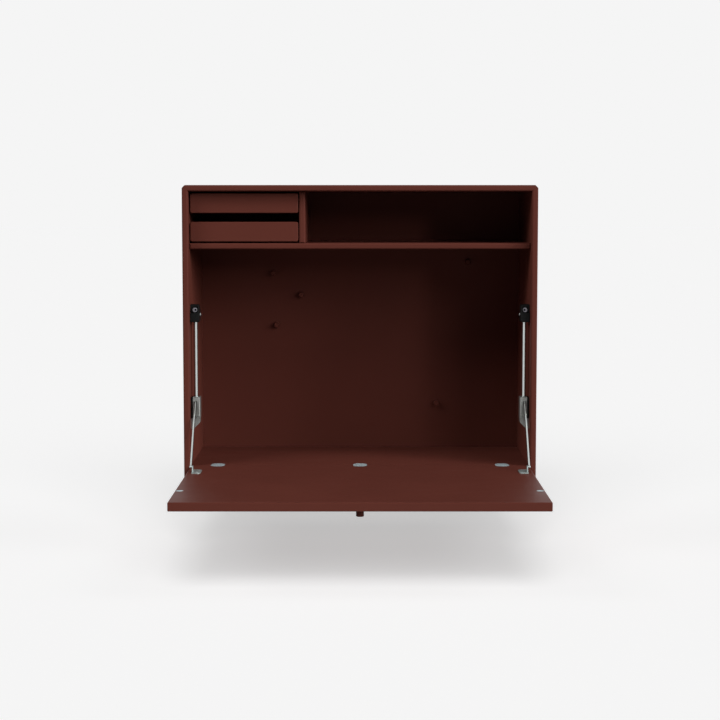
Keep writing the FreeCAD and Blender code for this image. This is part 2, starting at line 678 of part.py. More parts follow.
BAY_LEFT = f"(-{INNER_HALF})"
BAY_RIGHT = DIVIDER_LEFT
PAN_SIDE = "(runner_width + rim_play + runner_play)"
PAN_LEFT = f"({BAY_LEFT} + {PAN_SIDE})"
PAN_RIGHT = f"({BAY_RIGHT} - {PAN_SIDE})"
PAN_WIDTH = f"({PAN_RIGHT} - {PAN_LEFT})"
PAN_FRONT = f"({INSET_FACE} + tray_front)"
PAN_LENGTH = f"({BACK_FACE} - pan_gap - {PAN_FRONT})"
TRAY_SCREW_X = [f"({PAN_LEFT} + tray_screw_margin)", f"({PAN_RIGHT} - tray_screw_margin)"]


def tray(name, rise):
    """Make a tray: its front, its pan with a rim on runners, its screws and the runners."""
    front_low = f"({SHELF_TOP} + {rise})"
    front_high = f"({front_low} + tray_height)"
    front = slab(f"{name}_tray_front", f"({BAY_LEFT} + tray_side_gap)", f"({BAY_RIGHT} - tray_side_gap)",
                 front_low, front_high, PAN_FRONT, "tray_front")
    round_edges(front, "tray_corner", lambda bounds: near(bounds.XLength, 0) and near(bounds.ZLength, 0))
    doc.recompute()
    face = front.Shape.BoundBox.YMin
    round_edges(front, "tray_edge", lambda bounds: near(bounds.YMax, face))
    pan_low = f"({front_low} + pan_rise)"
    pan_high = f"({front_high} - pan_rim_drop)"
    screw_height = f"(({pan_low} + {pan_high}) / 2)"
    screw_centres = [(across, screw_height) for across in TRAY_SCREW_X]
    holes = circles(front, f"{name}_tray_front_holes", "XZ_Plane", screw_centres, "screw_diameter",
                    f"-{PAN_FRONT}")
    pocket(front, holes, "tray_screw_length")
    keep(front, front.Name)

    outer = box(f"{name}_pan_outer", (PAN_LEFT, PAN_WIDTH), (PAN_FRONT, PAN_LENGTH),
                (pan_low, f"({pan_high} - {pan_low})"))
    rim = box(f"{name}_pan_rim", (f"({BAY_LEFT} + rim_play)", f"({BAY_RIGHT} - {BAY_LEFT} - 2 * rim_play)"),
              (PAN_FRONT, PAN_LENGTH), (f"({pan_high} - pan_wall)", "pan_wall"))
    inner = box(f"{name}_pan_inner", (f"({PAN_LEFT} + pan_wall)", f"({PAN_WIDTH} - 2 * pan_wall)"),
                (f"({PAN_FRONT} + pan_wall)", f"({PAN_LENGTH} - 2 * pan_wall)"),
                (f"({pan_low} + pan_wall)", "tray_height"))
    pan_holes = [
        cylinder(f"{name}_pan_hole_{number}", "+Y", (across, f"({PAN_FRONT} - pan_wall)", upward),
                 "screw_diameter", "3 * pan_wall")
        for number, (across, upward) in enumerate(screw_centres, start=1)
    ]
    pan = cut(f"{name}_tray_pan", fuse(f"{name}_pan_blank", outer, rim), inner, *pan_holes)
    keep(pan, f"{name}_tray_pan")

    screws = [
        screw(f"{name}_tray_screw_{number}", "+Y", (across, f"({PAN_FRONT} + pan_wall)", upward),
              "pan_wall + tray_screw_length")
        for number, (across, upward) in enumerate(screw_centres, start=1)
    ]
    keep(group(f"{name}_tray_screws", screws), f"{name}_tray_screws")

    runner_top = f"({pan_high} - pan_wall - runner_play)"
    runners = [
        box(f"{name}_runner_{number}", (left, "runner_width"), (PAN_FRONT, PAN_LENGTH),
            (f"({runner_top} - runner_height)", "runner_height"))
        for number, left in enumerate((BAY_LEFT, f"({BAY_RIGHT} - runner_width)"), start=1)
    ]
    keep(group(f"{name}_tray_runners", runners), f"{name}_tray_runners")


tray("lower", "lower_tray_rise")
tray("upper", "upper_tray_rise")

# ---------------------------------------------------------------- flap

flap_panel = slab("flap_panel", f"(-{FLAP_HALF})", FLAP_HALF, FLAP_BOTTOM, DESK_TOP, FLAP_REAR, FLAP_LENGTH)
round_edges(flap_panel, "flap_round", lambda bounds: True)
flap_cups_at = [(across, f"({FLAP_REAR} - cup_offset)") for across in HINGES.values()]
pocket(flap_panel, circles(flap_panel, "flap_cups", "XY_Plane", flap_cups_at, "cup_diameter", DESK_TOP),
       "cup_depth")
strikes_at = [(mirrored(side, MAGNET_X), STRIKE_Y) for side in SIDES.values()]
pocket(flap_panel, circles(flap_panel, "flap_strikes", "XY_Plane", strikes_at, "strike_diameter", DESK_TOP),
       "strike_depth")
flap_screws_at = [(mirrored(side, BRACKET_SCREW_X), row) for side in SIDES.values() for row in FLAP_SCREW_ROWS]
pocket(flap_panel, circles(flap_panel, "flap_screw_holes", "XY_Plane", flap_screws_at, "screw_diameter",
                           DESK_TOP), "flap_screw_bite")
KNOB_Y = f"({FLAP_FRONT} + knob_margin)"
pocket(flap_panel, circles(flap_panel, "flap_knob_hole", "XY_Plane", [("0", KNOB_Y)], "stud_diameter",
                           FLAP_BOTTOM), "stud_length")
keep(flap_panel, "flap_panel")

for (name, side), (across, depth_wise) in zip(SIDES.items(), strikes_at):
    disc = cylinder(f"{name}_strike_disc", "+Z", (across, depth_wise, f"({DESK_TOP} - strike_depth)"),
                    "strike_diameter", "strike_depth + strike_proud")
    keep(disc, disc.Name)

knob = new_body("knob")
pad(knob, circles(knob, "knob_circle", "XY_Plane", [("0", KNOB_Y)], "knob_diameter",
                  f"({FLAP_BOTTOM} - knob_length)"), "knob_length")
doc.recompute()
knob_end = knob.Shape.BoundBox.ZMin
round_edges(knob, "knob_round", lambda bounds: near(bounds.ZMax, knob_end))
pocket(knob, circles(knob, "knob_hole", "XY_Plane", [("0", KNOB_Y)], "stud_diameter", FLAP_BOTTOM), "stud_length")
keep(knob, "knob")
knob_stud = cylinder("knob_stud", "+Z", ("0", KNOB_Y, f"({FLAP_BOTTOM} - stud_length)"), "stud_diameter",
                     "2 * stud_length")
keep(knob_stud, "knob_stud")

# ---------------------------------------------------------------- hinges

KNUCKLE = "2 * pivot_depth"
NOTCH_FRONT = f"({AXIS_Y} - pivot_depth - knuckle_play)"
NOTCH_FLOOR = f"({AXIS_Z} - pivot_depth - knuckle_play)"
CUP_BOTTOM = f"({DESK_TOP} - cup_depth)"


def hinge(name, middle):
    """Make a hinge: a cup in the desk board, a cup in the flap and the pin between them."""
    bore = cylinder(f"{name}_hinge_bore", "+X", (f"({middle} - knuckle_end - knuckle_play)", AXIS_Y, AXIS_Z),
                    "hinge_pin + 2 * running_play", "2 * (knuckle_end + knuckle_play)")

    case_round = cylinder(f"{name}_case_round", "+Z", (middle, f"({INSET_FACE} + cup_offset)", CUP_BOTTOM),
                          "cup_diameter", "cup_depth")
    case_trim = box(f"{name}_case_trim", (f"({middle} - cup_diameter)", "2 * cup_diameter"),
                    (f"({INSET_FACE} - cup_diameter)", "cup_diameter"), (CUP_BOTTOM, "cup_depth"))
    knuckles = []
    for side in (-1, 1):
        low = f"({middle} + knuckle_half)" if side > 0 else f"({middle} - knuckle_end)"
        width = "(knuckle_end - knuckle_half)"
        knuckles.append(cylinder(f"{name}_barrel", "+X", (low, AXIS_Y, AXIS_Z), KNUCKLE, width))
        knuckles.append(box(f"{name}_tongue", (low, width), (AXIS_Y, f"({INSET_FACE} - {AXIS_Y} + pivot_depth)"),
                            (f"({AXIS_Z} - pivot_depth)", KNUCKLE)))
    case_cup = cut(f"{name}_hinge_case_cup",
                   fuse(f"{name}_case_blank", cut(f"{name}_case_half", case_round, case_trim), *knuckles), bore)
    keep(case_cup, f"{name}_hinge_case_cup")

    flap_round = cylinder(f"{name}_flap_round", "+Z", (middle, f"({FLAP_REAR} - cup_offset)", CUP_BOTTOM),
                          "cup_diameter", "cup_depth")
    flap_trim = box(f"{name}_flap_trim", (f"({middle} - cup_diameter)", "2 * cup_diameter"),
                    (FLAP_REAR, "cup_diameter"), (CUP_BOTTOM, "cup_depth"))
    corner = box(f"{name}_flap_corner", (f"({middle} - cup_diameter)", "2 * cup_diameter"),
                 (AXIS_Y, "cup_diameter"), (AXIS_Z, "cup_depth"))
    notches = []
    for side in (-1, 1):
        low = f"({middle} + knuckle_half - knuckle_play)"
        if side < 0:
            low = f"({middle} - knuckle_end - knuckle_play)"
        notches.append(box(f"{name}_notch", (low, "(knuckle_end - knuckle_half + 2 * knuckle_play)"),
                           (NOTCH_FRONT, "cup_diameter"), (NOTCH_FLOOR, "cup_depth")))
    barrel = cylinder(f"{name}_flap_barrel", "+X", (f"({middle} - knuckle_half + knuckle_play)", AXIS_Y, AXIS_Z),
                      KNUCKLE, "2 * (knuckle_half - knuckle_play)")
    trimmed = cut(f"{name}_flap_half", flap_round, flap_trim, corner, *notches)
    flap_cup = cut(f"{name}_hinge_flap_cup", fuse(f"{name}_flap_blank", trimmed, barrel), bore)
    keep(flap_cup, f"{name}_hinge_flap_cup")

    pin = cylinder(f"{name}_hinge_pin", "+X", (f"({middle} - knuckle_end)", AXIS_Y, AXIS_Z), "hinge_pin",
                   "2 * knuckle_end")
    keep(pin, f"{name}_hinge_pin")


for name, middle in HINGES.items():
    hinge(name, middle)

# ---------------------------------------------------------------- flap stays

SLIDER_OUTER = f"({INNER_HALF} - glide)"
SLIDER_INNER = f"({INNER_HALF} - glide - slider_width)"
SLIDER_FRONT = "(slider_setback - case_depth)"
SLIDER_REAR = "(slider_setback + slider_depth - case_depth)"
HEAD_BOTTOM = "(head_bottom - rail_height)"
HEAD_TOP = "(head_top - rail_height)"
FOOT_BOTTOM = "(foot_bottom - rail_height)"
FOOT_TOP = "(foot_bottom + foot_height - rail_height)"
ROD_HOLE = "rod_diameter + 2 * running_play"
EYE_INNER = f"({ARM_X} - eye_thickness / 2)"
EYE_OUTER = f"({ARM_X} + eye_thickness / 2)"
ARM_RUN = f"({SLIDER_PIVOT_Y} - {FLAP_PIVOT_Y})"
ARM_CLIMB = f"({SLIDER_PIVOT_Z} - {FLAP_PIVOT_Z})"
ARM_LENGTH = f"sqrt({ARM_RUN} ^ 2 + {ARM_CLIMB} ^ 2)"


def stay_head(name, side):
    """Make the stay's head, which holds the rod's upper end and the catch magnet."""
    body = new_body(f"{name}_stay_head")
    inner = f"({INNER_HALF} - head_width)"
    corners = [
        (INNER_HALF, HEAD_BOTTOM),
        (INNER_HALF, HEAD_TOP),
        (f"({inner} + head_bevel)", HEAD_TOP),
        (inner, f"({HEAD_TOP} - head_bevel)"),
        (inner, f"({HEAD_BOTTOM} + head_bevel)"),
        (f"({inner} + head_bevel)", HEAD_BOTTOM),
    ]
    sketch = outline(body, f"{name}_head_outline", "XZ_Plane",
                     [(mirrored(side, across), upward) for across, upward in corners],
                     "(case_depth - inset - head_depth)")
    pad(body, sketch, "head_depth")
    rod_hole = circles(body, f"{name}_head_rod_hole", "XY_Plane", [(mirrored(side, ROD_X), ROD_Y)],
                       "rod_diameter", HEAD_BOTTOM)
    pocket(body, rod_hole, "rod_grip")
    magnet_hole = circles(body, f"{name}_head_magnet_hole", "XZ_Plane",
                          [(mirrored(side, MAGNET_X), "(magnet_height - rail_height)")],
                          "magnet_diameter", f"-{INSET_FACE}")
    pocket(body, magnet_hole, "magnet_depth")
    screw_hole = circles(body, f"{name}_head_screw_hole", "YZ_Plane", [STAY_SCREWS[0]], "screw_diameter",
                         mirrored(side, inner))
    pocket(body, screw_hole, "head_width")
    keep(body, body.Name)


def catch_magnet(name, side):
    """Make the ring shaped catch magnet in the head."""
    across = mirrored(side, MAGNET_X)
    upward = "(magnet_height - rail_height)"
    outer = cylinder(f"{name}_magnet_outer", "-Y", (across, f"({INSET_FACE} + magnet_depth)", upward),
                     "magnet_diameter", "magnet_depth + magnet_proud")
    hollow = cylinder(f"{name}_magnet_hollow", "-Y", (across, f"({INSET_FACE} + magnet_bore_depth)", upward),
                      "magnet_bore", "magnet_depth")
    keep(cut(f"{name}_catch_magnet", outer, hollow), f"{name}_catch_magnet")


def guide_rod(name, side):
    """Make the rod from the foot up into the head."""
    start = (mirrored(side, ROD_X), ROD_Y, f"({FOOT_BOTTOM} + foot_floor)")
    rod = cylinder(f"{name}_guide_rod", "+Z", start, "rod_diameter",
                   f"({HEAD_BOTTOM} + rod_grip - {FOOT_BOTTOM} - foot_floor)")
    keep(rod, rod.Name)


def stay_foot(name, side):
    """Make the bevelled foot that holds the rod's lower end and stops the slider."""
    body = new_body(f"{name}_stay_foot")
    inner = SLIDER_INNER
    corners = [
        (INNER_HALF, FOOT_BOTTOM),
        (INNER_HALF, FOOT_TOP),
        (inner, FOOT_TOP),
        (inner, f"({FOOT_BOTTOM} + foot_bevel)"),
        (f"({inner} + foot_bevel)", FOOT_BOTTOM),
    ]
    sketch = outline(body, f"{name}_foot_outline", "XZ_Plane",
                     [(mirrored(side, across), upward) for across, upward in corners],
                     "(case_depth - foot_setback - foot_depth)")
    pad(body, sketch, "foot_depth")
    rod_hole = circles(body, f"{name}_foot_rod_hole", "XY_Plane", [(mirrored(side, ROD_X), ROD_Y)],
                       "rod_diameter", FOOT_TOP)
    pocket(body, rod_hole, "foot_height - foot_floor")
    screw_hole = circles(body, f"{name}_foot_screw_hole", "YZ_Plane", [STAY_SCREWS[1]], "screw_diameter",
                         mirrored(side, inner))
    pocket(body, screw_hole, "glide + slider_width")
    keep(body, body.Name)


def slider(name, side):
    """Make the slider with its slot for the arm, and the glide behind it."""
    body = new_body(f"{name}_slider")
    low = (mirrored(side, SLIDER_INNER), SLIDER_LOW)
    high = (mirrored(side, SLIDER_OUTER), f"({SLIDER_LOW} + slider_height)")
    sketch = rectangle(body, f"{name}_slider_outline", "XZ_Plane", low, high, f"-{SLIDER_REAR}")
    pad(body, sketch, "slider_depth")
    slot_low = (mirrored(side, f"({ARM_X} - slot_width / 2)"), f"({SLIDER_FRONT} - slot_depth)")
    slot_high = (mirrored(side, f"({ARM_X} + slot_width / 2)"), f"({SLIDER_FRONT} + slot_depth)")
    slot = rectangle(body, f"{name}_slider_slot", "XY_Plane", slot_low, slot_high, SLIDER_LOW)
    pocket(body, slot, "2 * slider_height")
    rod_hole = circles(body, f"{name}_slider_rod_hole", "XY_Plane", [(mirrored(side, ROD_X), ROD_Y)],
                       ROD_HOLE, SLIDER_LOW)
    pocket(body, rod_hole, "2 * slider_height")
    keep(body, body.Name)
    glide = side_box(f"{name}_slider_glide", side, (SLIDER_OUTER, "(glide - glide_play)"),
                     (SLIDER_FRONT, "slider_depth"), (SLIDER_LOW, "slider_height"))
    keep(glide, glide.Name)


def arm(name, side):
    """Make the arm from the flap's pin up to the slider, and its rivet in the slot."""
    turn = FreeCAD.Rotation(FreeCAD.Vector(-1, 0, 0), 45)
    shank = cylinder(f"{name}_arm_shank", "+Z", ("0", "0", "0"), "arm_diameter", ARM_LENGTH)
    eyes = []
    bores = []
    for number, height in enumerate(("0", ARM_LENGTH), start=1):
        eyes.append(cylinder(f"{name}_arm_eye_{number}", "+X", ("(-eye_thickness / 2)", "0", height),
                             "eye_diameter", "eye_thickness"))
        bores.append(cylinder(f"{name}_arm_bore_{number}", "+X", ("(-eye_thickness)", "0", height),
                              "arm_pin + 2 * running_play", "2 * eye_thickness"))
    # The bores also cut the shank's ends where the pins pass.
    whole = cut(f"{name}_stay_arm", fuse(f"{name}_arm_blank", shank, *eyes), *bores)
    set_place(whole, mirrored(side, ARM_X), FLAP_PIVOT_Y, FLAP_PIVOT_Z, rotation=turn)
    whole.setExpression("Placement.Rotation.Angle", formula(f"atan({ARM_RUN} / {ARM_CLIMB})"))
    keep(whole, f"{name}_stay_arm")
    keep(rivet(f"{name}_slider_rivet", side, SLIDER_PIVOT_Y, SLIDER_PIVOT_Z, EYE_INNER, EYE_OUTER),
         f"{name}_slider_rivet")


def rivet(name, side, depth_wise, upward, inner, outer):
    """Make a pin along X with a flat head beyond each end of its span."""
    towards = "+X" if side > 0 else "-X"
    back = "-X" if side > 0 else "+X"
    start = (mirrored(side, inner), depth_wise, upward)
    end = (mirrored(side, outer), depth_wise, upward)
    shaft = cylinder(f"{name}_shaft", towards, start, "arm_pin", f"({outer} - {inner})")
    inner_head = cylinder(f"{name}_inner_head", back, start, "arm_pin_head", "arm_pin_cap")
    outer_head = cylinder(f"{name}_outer_head", towards, end, "arm_pin_head", "arm_pin_cap")
    return fuse(name, shaft, inner_head, outer_head)


def flap_bracket(name, side):
    """Make the angle on the flap whose ear carries the arm, and the arm's pin."""
    ear_inner = f"({EAR_OUTER} - flap_bracket_sheet)"
    base = side_box(f"{name}_bracket_base", side, (BRACKET_INNER, "flap_bracket_width"),
                    (f"({FLAP_PIVOT_Y} - flap_bracket_length / 2)", "flap_bracket_length"),
                    (DESK_TOP, "flap_bracket_sheet"))
    ear = new_body(f"{name}_bracket_ear")
    sketch = outline(ear, f"{name}_ear_outline", "YZ_Plane", [
        (f"({FLAP_PIVOT_Y} - ear_foot / 2)", DESK_TOP),
        (f"({FLAP_PIVOT_Y} + ear_foot / 2)", DESK_TOP),
        (f"({FLAP_PIVOT_Y} + eye_diameter / 2)", FLAP_PIVOT_Z),
        (f"({FLAP_PIVOT_Y} - eye_diameter / 2)", FLAP_PIVOT_Z),
    ], mirrored(side, f"({EAR_OUTER} - flap_bracket_sheet / 2)"))
    pad(ear, sketch, "flap_bracket_sheet", midplane=True)
    towards = "+X" if side > 0 else "-X"
    boss = cylinder(f"{name}_bracket_boss", towards, (mirrored(side, ear_inner), FLAP_PIVOT_Y, FLAP_PIVOT_Z),
                    "eye_diameter", "flap_bracket_sheet")
    bore = cylinder(f"{name}_bracket_bore", towards,
                    (mirrored(side, f"({ear_inner} - flap_bracket_sheet)"), FLAP_PIVOT_Y, FLAP_PIVOT_Z),
                    "arm_pin + 2 * running_play", "3 * flap_bracket_sheet")
    screw_x = mirrored(side, BRACKET_SCREW_X)
    holes = [
        cylinder(f"{name}_bracket_hole_{number}", "+Z", (screw_x, row, f"({DESK_TOP} - flap_bracket_sheet)"),
                 "screw_diameter", "3 * flap_bracket_sheet")
        for number, row in enumerate(FLAP_SCREW_ROWS, start=1)
    ]
    bracket = cut(f"{name}_flap_bracket", fuse(f"{name}_bracket_blank", base, ear, boss), bore, *holes)
    keep(bracket, f"{name}_flap_bracket")
    pin = rivet(f"{name}_arm_pin", side, FLAP_PIVOT_Y, FLAP_PIVOT_Z, ear_inner, f"({EYE_OUTER} + ear_play)")
    keep(pin, f"{name}_arm_pin")


stay_screws = []
for name, side in SIDES.items():
    stay_head(name, side)
    catch_magnet(name, side)
    guide_rod(name, side)
    stay_foot(name, side)
    slider(name, side)
    arm(name, side)
    flap_bracket(name, side)
    facing = "-X" if side > 0 else "+X"
    for part, width, centre in (("head", "head_width", STAY_SCREWS[0]),
                                ("foot", "(glide + slider_width)", STAY_SCREWS[1])):
        seat = (mirrored(side, f"({INNER_HALF} - {width})"), *centre)
        stay_screws.append(screw(f"{name}_{part}_screw", facing, seat, f"{width} + stay_screw_bite"))
keep(group("stay_screws", stay_screws), "stay_screws")

flap_screws = [
    screw(f"flap_bracket_screw_{number}", "+Z", (across, row, f"({DESK_TOP} + flap_bracket_sheet)"),
          "flap_bracket_sheet + flap_screw_bite")
    for number, (across, row) in enumerate(flap_screws_at, start=1)
]
keep(group("flap_bracket_screws", flap_screws), "flap_bracket_screws")

# ---------------------------------------------------------------- check and write

doc.recompute()
for item in doc.Objects:
    if "Invalid" in item.State or "Error" in item.State:
        raise RuntimeError(f"{item.Label} failed: {item.State}")

os.makedirs("parts", exist_ok=True)
for part in kept_parts:
    shape = part.Shape
    if shape.isNull() or not shape.isValid() or shape.Volume <= 0:
        raise RuntimeError(f"{part.Label} has no valid shape")
for part in kept_parts:
    part.Shape.exportStep(f"parts/{part.Label}.step")
print(f"{len(kept_parts)} sub-parts written")
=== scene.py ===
"""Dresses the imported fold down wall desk: finishes, detailed fittings, a floor, light and a camera."""

import json
import logging
import math
from collections.abc import Callable
from dataclasses import dataclass
from enum import Enum
from typing import Self

import bmesh
import bpy
from mathutils import Matrix, Vector


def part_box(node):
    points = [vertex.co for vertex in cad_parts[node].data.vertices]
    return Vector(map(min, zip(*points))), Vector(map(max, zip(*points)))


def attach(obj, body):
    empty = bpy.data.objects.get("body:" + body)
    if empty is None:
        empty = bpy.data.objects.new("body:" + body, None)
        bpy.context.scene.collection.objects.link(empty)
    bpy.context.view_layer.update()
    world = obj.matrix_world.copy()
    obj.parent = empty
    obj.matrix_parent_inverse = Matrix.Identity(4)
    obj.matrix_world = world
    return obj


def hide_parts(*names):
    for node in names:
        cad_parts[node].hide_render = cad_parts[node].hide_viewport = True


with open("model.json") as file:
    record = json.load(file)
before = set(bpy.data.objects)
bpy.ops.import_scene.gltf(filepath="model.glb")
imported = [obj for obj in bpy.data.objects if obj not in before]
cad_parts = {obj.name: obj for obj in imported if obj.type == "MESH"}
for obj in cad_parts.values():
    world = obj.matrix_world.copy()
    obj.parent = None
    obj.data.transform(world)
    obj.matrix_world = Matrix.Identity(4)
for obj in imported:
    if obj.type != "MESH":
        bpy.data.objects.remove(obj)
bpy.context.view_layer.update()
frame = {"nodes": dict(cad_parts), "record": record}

log = logging.getLogger("wall_desk")

MM = 0.001  # a millimetre, in metres
TOUCH = 0.01  # millimetres within which two places count as one
WELD = 0.0005  # millimetres within which vertices are merged

Colour = tuple[float, float, float]
Corner = tuple[float, float, float]
Range = tuple[float, float]
Profile = list[tuple[float, float]]
Inputs = dict[str | int, object]
Socket = bpy.types.NodeSocket
Edge = bmesh.types.BMEdge


class Axis(Enum):
    """An axis of the desk's frame: X to the right, Y into the wall, Z up."""

    X = 0
    Y = 1
    Z = 2

    def unit(self) -> Vector:
        """Give the axis as a vector one millimetre long."""
        return Vector([float(self.value == number) for number in range(3)])

    def point(self, across: float, upward: float, along: float) -> Vector:
        """Place a point of a drawing that lies square to the axis, at a distance along it."""
        places = ((along, across, upward), (across, along, upward), (across, upward, along))
        return Vector(places[self.value])


class Side(Enum):
    """The side of the desk that a fitting is on."""

    LEFT = -1
    RIGHT = 1

    @property
    def word(self) -> str:
        """Give the side's word as the nodes' names have it."""
        return self.name.lower()


class Grain(Enum):
    """The direction of the fine lines that brushing leaves, as a stretch of the noise on X, Y and Z."""

    ALONG_X = (0.04, 1.0, 1.0)
    ALONG_Y = (1.0, 0.04, 1.0)
    ALONG_Z = (1.0, 1.0, 0.04)
    NONE = (1.0, 1.0, 1.0)


@dataclass(frozen=True)
class Span:
    """The box of a node, in millimetres of the desk's frame."""

    low: Vector
    high: Vector

    @classmethod
    def of(cls, node: str) -> Self:
        """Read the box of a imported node."""
        low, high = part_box(node)
        return cls(low / MM, high / MM)

    @property
    def middle(self) -> Vector:
        """Give the middle of the box."""
        return (self.low + self.high) / 2

    @property
    def size(self) -> Vector:
        """Give the lengths of the box's sides."""
        return self.high - self.low

    def outward(self) -> "Span":
        """Give the box as it lies on the right side of the desk, which is its mirror image on the left."""
        low, high = Vector((-self.high.x, *self.low.yz)), Vector((-self.low.x, *self.high.yz))
        return self if self.middle.x >= 0 else Span(low, high)


# ---- finishes


class Bench:
    """A bench on which the nodes of a material or a world are put together."""

    def __init__(self, owner: bpy.types.Material | bpy.types.World) -> None:
        """Start an empty tree of nodes.

        Args:
            owner: The material or the world that the nodes belong to.
        """
        owner.use_nodes = True
        self.tree = owner.node_tree
        self.tree.nodes.clear()

    def feed(self, socket: Socket, value: object) -> None:
        """Feed a socket.

        Args:
            socket: The socket.
            value: Another node's socket, or a constant, which is three numbers for a colour.
        """
        if isinstance(value, Socket):
            self.tree.links.new(value, socket)
        else:
            socket.default_value = (*value, 1.0) if socket.type == "RGBA" else value

    def node(self, kind: str, inputs: Inputs | None = None, **settings: object) -> bpy.types.Node:
        """Add a node.

        Args:
            kind: The node's type name.
            inputs: What each of its sockets is fed with, by the socket's name or place.
            **settings: Properties to set on the node.

        Returns:
            The new node.
        """
        made = self.tree.nodes.new(kind)
        for name, value in settings.items():
            setattr(made, name, value)
        for name, value in (inputs or {}).items():
            self.feed(made.inputs[name], value)
        return made

    def end_in(self, output: str, hidden: bpy.types.Node, seen: bpy.types.Node) -> None:
        """End the tree with a shader for the rays of the picture and another for the bounced light.

        Args:
            output: The type name of the output node.
            hidden: The shader that the bounced light meets.
            seen: The shader that camera, glossy and transmission rays meet.
        """
        path = self.node("ShaderNodeLightPath").outputs
        share = path["Is Camera Ray"]
        for ray in ("Is Glossy Ray", "Is Transmission Ray"):
            either = self.node("ShaderNodeMath", {0: share, 1: path[ray]}, operation="MAXIMUM")
            share = either.outputs["Value"]
        mix = self.node("ShaderNodeMixShader", {0: share, 1: hidden.outputs[0], 2: seen.outputs[0]})
        self.node(output, {"Surface": mix.outputs["Shader"]})


@dataclass
class Finish(Bench):
    """A finish: a material with a Principled shader, and its main colour."""

    name: str
    colour: Colour

    def __post_init__(self) -> None:
        """Start the material with its shader, its output and Object coordinates."""
        self.material = bpy.data.materials.new(self.name)
        super().__init__(self.material)
        self.shader = self.node("ShaderNodeBsdfPrincipled")
        self.node("ShaderNodeOutputMaterial", {"Surface": self.shader.outputs["BSDF"]})
        self.place = self.node("ShaderNodeTexCoord").outputs["Object"]

    def paint(self) -> None:
        """Build the nodes between the place and the shader, which each finish does in its own way."""
        raise NotImplementedError

    def noise(self, scale: float, detail: float = 2.0, rough: float = 0.5, stretch: Colour = ()) -> Socket:
        """Add a noise.

        Args:
            scale: Features to the metre.
            detail: Octaves of finer noise.
            rough: The share of each finer octave.
            stretch: How the place is stretched along X, Y and Z, or nothing for the plain place.

        Returns:
            The noise's value, from 0 to 1.
        """
        place = self.place
        if stretch:
            place = self.node("ShaderNodeMapping", {"Vector": place, "Scale": stretch}).outputs["Vector"]
        inputs = {"Vector": place, "Scale": scale, "Detail": detail, "Roughness": rough}
        return self.node("ShaderNodeTexNoise", inputs).outputs["Fac"]

    def ranged(self, value: Socket, source: Range, target: Range) -> Socket:
        """Map a value from one range onto another, clamped."""
        ends = dict(zip(("From Min", "From Max", "To Min", "To Max"), source + target))
        return self.node("ShaderNodeMapRange", {"Value": value, **ends}, clamp=True).outputs["Result"]

    def added(self, first: Socket, second: Socket, share: float) -> Socket:
        """Add a share of a second value to a first."""
        inputs = {0: second, 1: share, 2: first}
        return self.node("ShaderNodeMath", inputs, operation="MULTIPLY_ADD").outputs["Value"]

    def shade(self, factor: float) -> Colour:
        """Give a shade of the main colour."""
        return tuple(part * factor for part in self.colour)

    def laid(
        self, base: float | Socket, top: float, value: Socket, source: Range, most: float = 1.0
    ) -> Socket:
        """Lay a shade of the main colour over a base.

        Args:
            base: The colour below, as a factor of the main colour or a socket.
            top: The factor of the colour above.
            value: The value that says where it lies.
            source: The range over which the value brings the colour up from nothing.
            most: The share of the colour at the end of that range.

        Returns:
            The mixed colour.
        """
        below = base if isinstance(base, Socket) else self.shade(base)
        inputs = {0: self.ranged(value, source, (0.0, most)), 6: below, 7: self.shade(top)}
        return self.node("ShaderNodeMix", inputs, data_type="RGBA").outputs[2]

    def coat(self, colour: Socket, sheen: Socket, height: Socket, relief: float, **others: object) -> None:
        """Feed the shader.

        Args:
            colour: Its base colour.
            sheen: Its roughness.
            height: The height that raises the surface.
            relief: The greatest height, in millimetres.
            **others: Other sockets of the shader.
        """
        raised = self.node("ShaderNodeBump", {"Strength": 1.0, "Distance": relief * MM, "Height": height})
        fed = {"Base Color": colour, "Roughness": sheen, "Normal": raised.outputs["Normal"], **others}
        for name, value in fed.items():
            self.feed(self.shader.inputs[name], value)


@dataclass
class Lacquer(Finish):
    """A sprayed satin lacquer on fine fibreboard, with the faint orange peel of the spray gun."""

    sheen: Range = (0.36, 0.46)
    index: float = 1.125
    peel: float = 0.014

    def paint(self) -> None:
        """Build the lacquer: soft clouds, paler specks and a haze in its sheen."""
        tone = self.laid(0.955, 1.045, self.noise(5.0, 3.0), (0.3, 0.7))
        hazy = self.added(self.noise(11.0, 3.0), self.noise(240.0), 0.45)
        peel = self.added(self.noise(420.0, 1.0), self.noise(2100.0), 0.22)
        specked = self.laid(tone, 1.35, self.noise(900.0), (0.35, 0.7), 0.11)
        self.coat(specked, self.ranged(hazy, (0.4, 1.05), self.sheen), peel, self.peel, IOR=self.index)


@dataclass
class PowderCoat(Finish):
    """A fine textured powder coat on sheet steel."""

    sheen: Range = (0.46, 0.58)
    index: float = 1.2

    def paint(self) -> None:
        """Build the powder coat: one grit for its colour and its relief."""
        grit = self.noise(1500.0)
        tone, hazy = self.laid(0.88, 1.12, grit, (0.35, 0.7)), self.noise(60.0, 3.0)
        rough = self.added(grit, self.noise(5200.0), 0.35)
        self.coat(tone, self.ranged(hazy, (0.3, 0.7), self.sheen), rough, 0.06, IOR=self.index)


